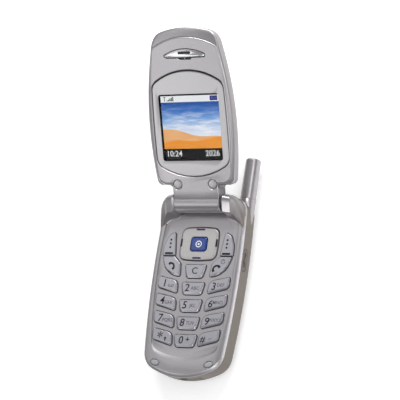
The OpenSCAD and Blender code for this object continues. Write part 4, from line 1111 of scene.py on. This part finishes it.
def makeBatteryCover():
    body = raiseRings("batteryCover", roundedBack() + [level(planOutline(basePlan, 0), 8)], onBase, 0)
    block = softBox("block", -16.5, 16.5, 10, 70, -1, 4.9, 0.25, onBase)
    combine(body, [block], "INTERSECT")
    applyModifier(body, "BEVEL", width=0.2 * mm, segments=2, limit_method="ANGLE", angle_limit=radians(50))
    combine(body, [raiseRings("cutter", boxRings(-15.7, 15.7, 10.8, 69.2, 1.0, 6), onBase, 0)])
    smooth(body, 30)
    body.data.materials.append(taupePaint)
    return body


finishPiece(makeBatteryCover(), "battery_pack", ["battery_cover"])


def makeLatch():
    parts = [softBox("batteryLatch", -5.5, 5.5, 4.5, 8.5, 0.5, 1.9, 0.25, onBase),
             softBox("tongue", -2.75, 2.75, 8.3, 9.8, 0.7, 1.9, 0.15, onBase)]
    for v in (5.5, 6.5, 7.5):              # three grip ribs across the slide
        parts.append(softBox("rib", -3.6, 3.6, v - 0.2, v + 0.2, 0.32, 0.7, 0.08, onBase))
    latch = joinPieces(parts, "batteryLatch")
    latch.data.materials.append(taupePaint)
    return latch


finishPiece(makeLatch(), "battery_latch", ["battery_latch"])


def makePortCover():
    # a band of the free end's wall, cut to the cover's width
    cover = prism(planOutline(basePlan), 4.15, 9.0, onBase, "portCover")
    combine(cover, [prism(planOutline(basePlan, 0.8), 3, 11, onBase)])
    combine(cover, [raiseRings("block", boxRings(-8.3, 8.3, 72, 80, 3, 11), onBase, 0)], "INTERSECT")
    applyModifier(cover, "BEVEL", width=0.16 * mm, segments=2, limit_method="ANGLE", angle_limit=radians(50))
    smooth(cover, 35)
    pull = softBox("pull", -1.5, 1.5, 77.3, 78.25, 7.6, 8.6, 0.2, onBase)
    cover = joinPieces([cover, pull], "portCover")
    cover.data.materials.append(taupeRubber)
    return cover


finishPiece(makePortCover(), "port_cover", ["port_cover"])
print("battery pack and covers made")

# the inner nodes whose shapes are right as they are
stay = {"silver_plastic": silverPaint, "taupe_plastic": taupePaint, "key_plastic": keyPaint,
        "bright_plastic": brightPlate, "grey_plastic": greyRubber, "black_plastic": blackNylonAndShade,
        "dark_plastic": blackNylonAndShade, "clear_plastic": smokedAcrylic, "blue_plastic": blueAcrylic,
        "circuit_board": solderMask, "film": domeFilm, "flex_film": amberFilm, "tinned_steel": tinPlate,
        "steel": plainSteel, "magnet_metal": magnetSkin, "gold_plate": goldFlash, "grey_rubber": greyRubber,
        "taupe_rubber": taupeRubber, "display_glass": smokedAcrylic, "cell_can": cellWrap}
slotOf = {p["node"]: p["material_slot"] for p in frame["record"]["subparts"]}
for name, node in nodes.items():
    node.data.materials.clear()
    node.data.materials.append(stay[slotOf[name]])

studio = {"floor": "#f2f2f2", "world": "#f0f1f4", "worldStrength": 0.24, "glow": 0.42,
          "lamps": {"lampKey": ((-0.48, -0.24, 0.59), (0.0, 0.08, 0.035), (0.44, 0.28), 0.72),
                    "lampNear": ((-0.25, 0.16, 0.38), (0.0, 0.08, 0.035), (0.2, 0.2), 0.085),
                    "lampTop": ((0.06, -0.34, 0.62), (0.0, 0.03, 0.02), (0.24, 0.2), 0.74),
                    "lampRight": ((0.44, 0.08, 0.5), (0.0, 0.03, 0.015), (0.7, 0.16), 1.25),
                    "lampBack": ((0.0, 0.6, 0.5), (0.0, 0.05, 0.03), (0.6, 0.2), 3.7),
                    "lampLeft": ((-0.5, 0.28, 0.9), (0.0, 0.0, 0.013), (0.3, 0.3), 0.12)}}


def addLamp(name, place, target, size, power):
    bpy.ops.object.light_add(type="AREA", location=place)
    lamp = bpy.context.active_object
    lamp.name = name
    lamp.data.shape = "RECTANGLE"
    lamp.data.size, lamp.data.size_y = size
    lamp.data.energy = power
    lamp.rotation_euler = (Vector(target) - Vector(place)).to_track_quat("-Z", "Y").to_euler()


def makeStudio():
    bpy.ops.object.select_all(action="DESELECT")
    bpy.ops.mesh.primitive_plane_add(size=6, location=(0, 0, 0))
    floor = bpy.context.active_object
    floor.name = "floor"
    material, tree, out, coords = startMaterial("matte white card")
    shade = addNode(tree, "ShaderNodeBsdfDiffuse", {"Color": hexColour(studio["floor"])})
    glow = addNode(tree, "ShaderNodeEmission", {"Color": (1, 1, 1, 1), "Strength": studio["glow"]})
    seen = addNode(tree, "ShaderNodeLightPath")
    either = mathNode(tree, "MAXIMUM", seen.outputs["Is Camera Ray"], seen.outputs["Is Glossy Ray"])
    either = mathNode(tree, "MAXIMUM", either, seen.outputs["Is Transmission Ray"])
    lit = addNode(tree, "ShaderNodeAddShader", None, {0: shade.outputs[0], 1: glow.outputs[0]})
    mix = addNode(tree, "ShaderNodeMixShader", None, {0: either, 1: shade.outputs[0], 2: lit.outputs[0]})
    tree.links.new(mix.outputs[0], out.inputs["Surface"])
    floor.data.materials.append(material)
    world = bpy.data.worlds.new("studio air")
    bpy.context.scene.world = world
    world.use_nodes = True
    world.node_tree.nodes.clear()
    out = addNode(world.node_tree, "ShaderNodeOutputWorld")
    air = addNode(world.node_tree, "ShaderNodeBackground", {"Color": hexColour(studio["world"]),
                                                            "Strength": studio["worldStrength"]})
    world.node_tree.links.new(air.outputs[0], out.inputs["Surface"])
    for name, (place, target, size, power) in studio["lamps"].items():
        addLamp(name, place, target, size, power)


makeStudio()

# the camera stands where the photograph's stood, solved from points on both halves
view = {"place": (0.398424, -0.179926, 0.711427), "lens": 168.35,
        "axes": ((0.87726533, 0.14332270, -0.45810931), (0.00235362, 0.95308709, 0.30268706),
                 (0.48, -0.26661508, 0.83577293))}
bpy.ops.object.camera_add()
camera = bpy.context.active_object
turn = Matrix(view["axes"]).transposed().to_4x4()
camera.matrix_world = Matrix.Translation(view["place"]) @ turn
camera.data.lens = view["lens"]
camera.data.sensor_width = 36
camera.data.clip_start = 0.01
bpy.context.scene.camera = camera
bpy.context.scene.view_settings.view_transform = "Standard"
print("studio made")
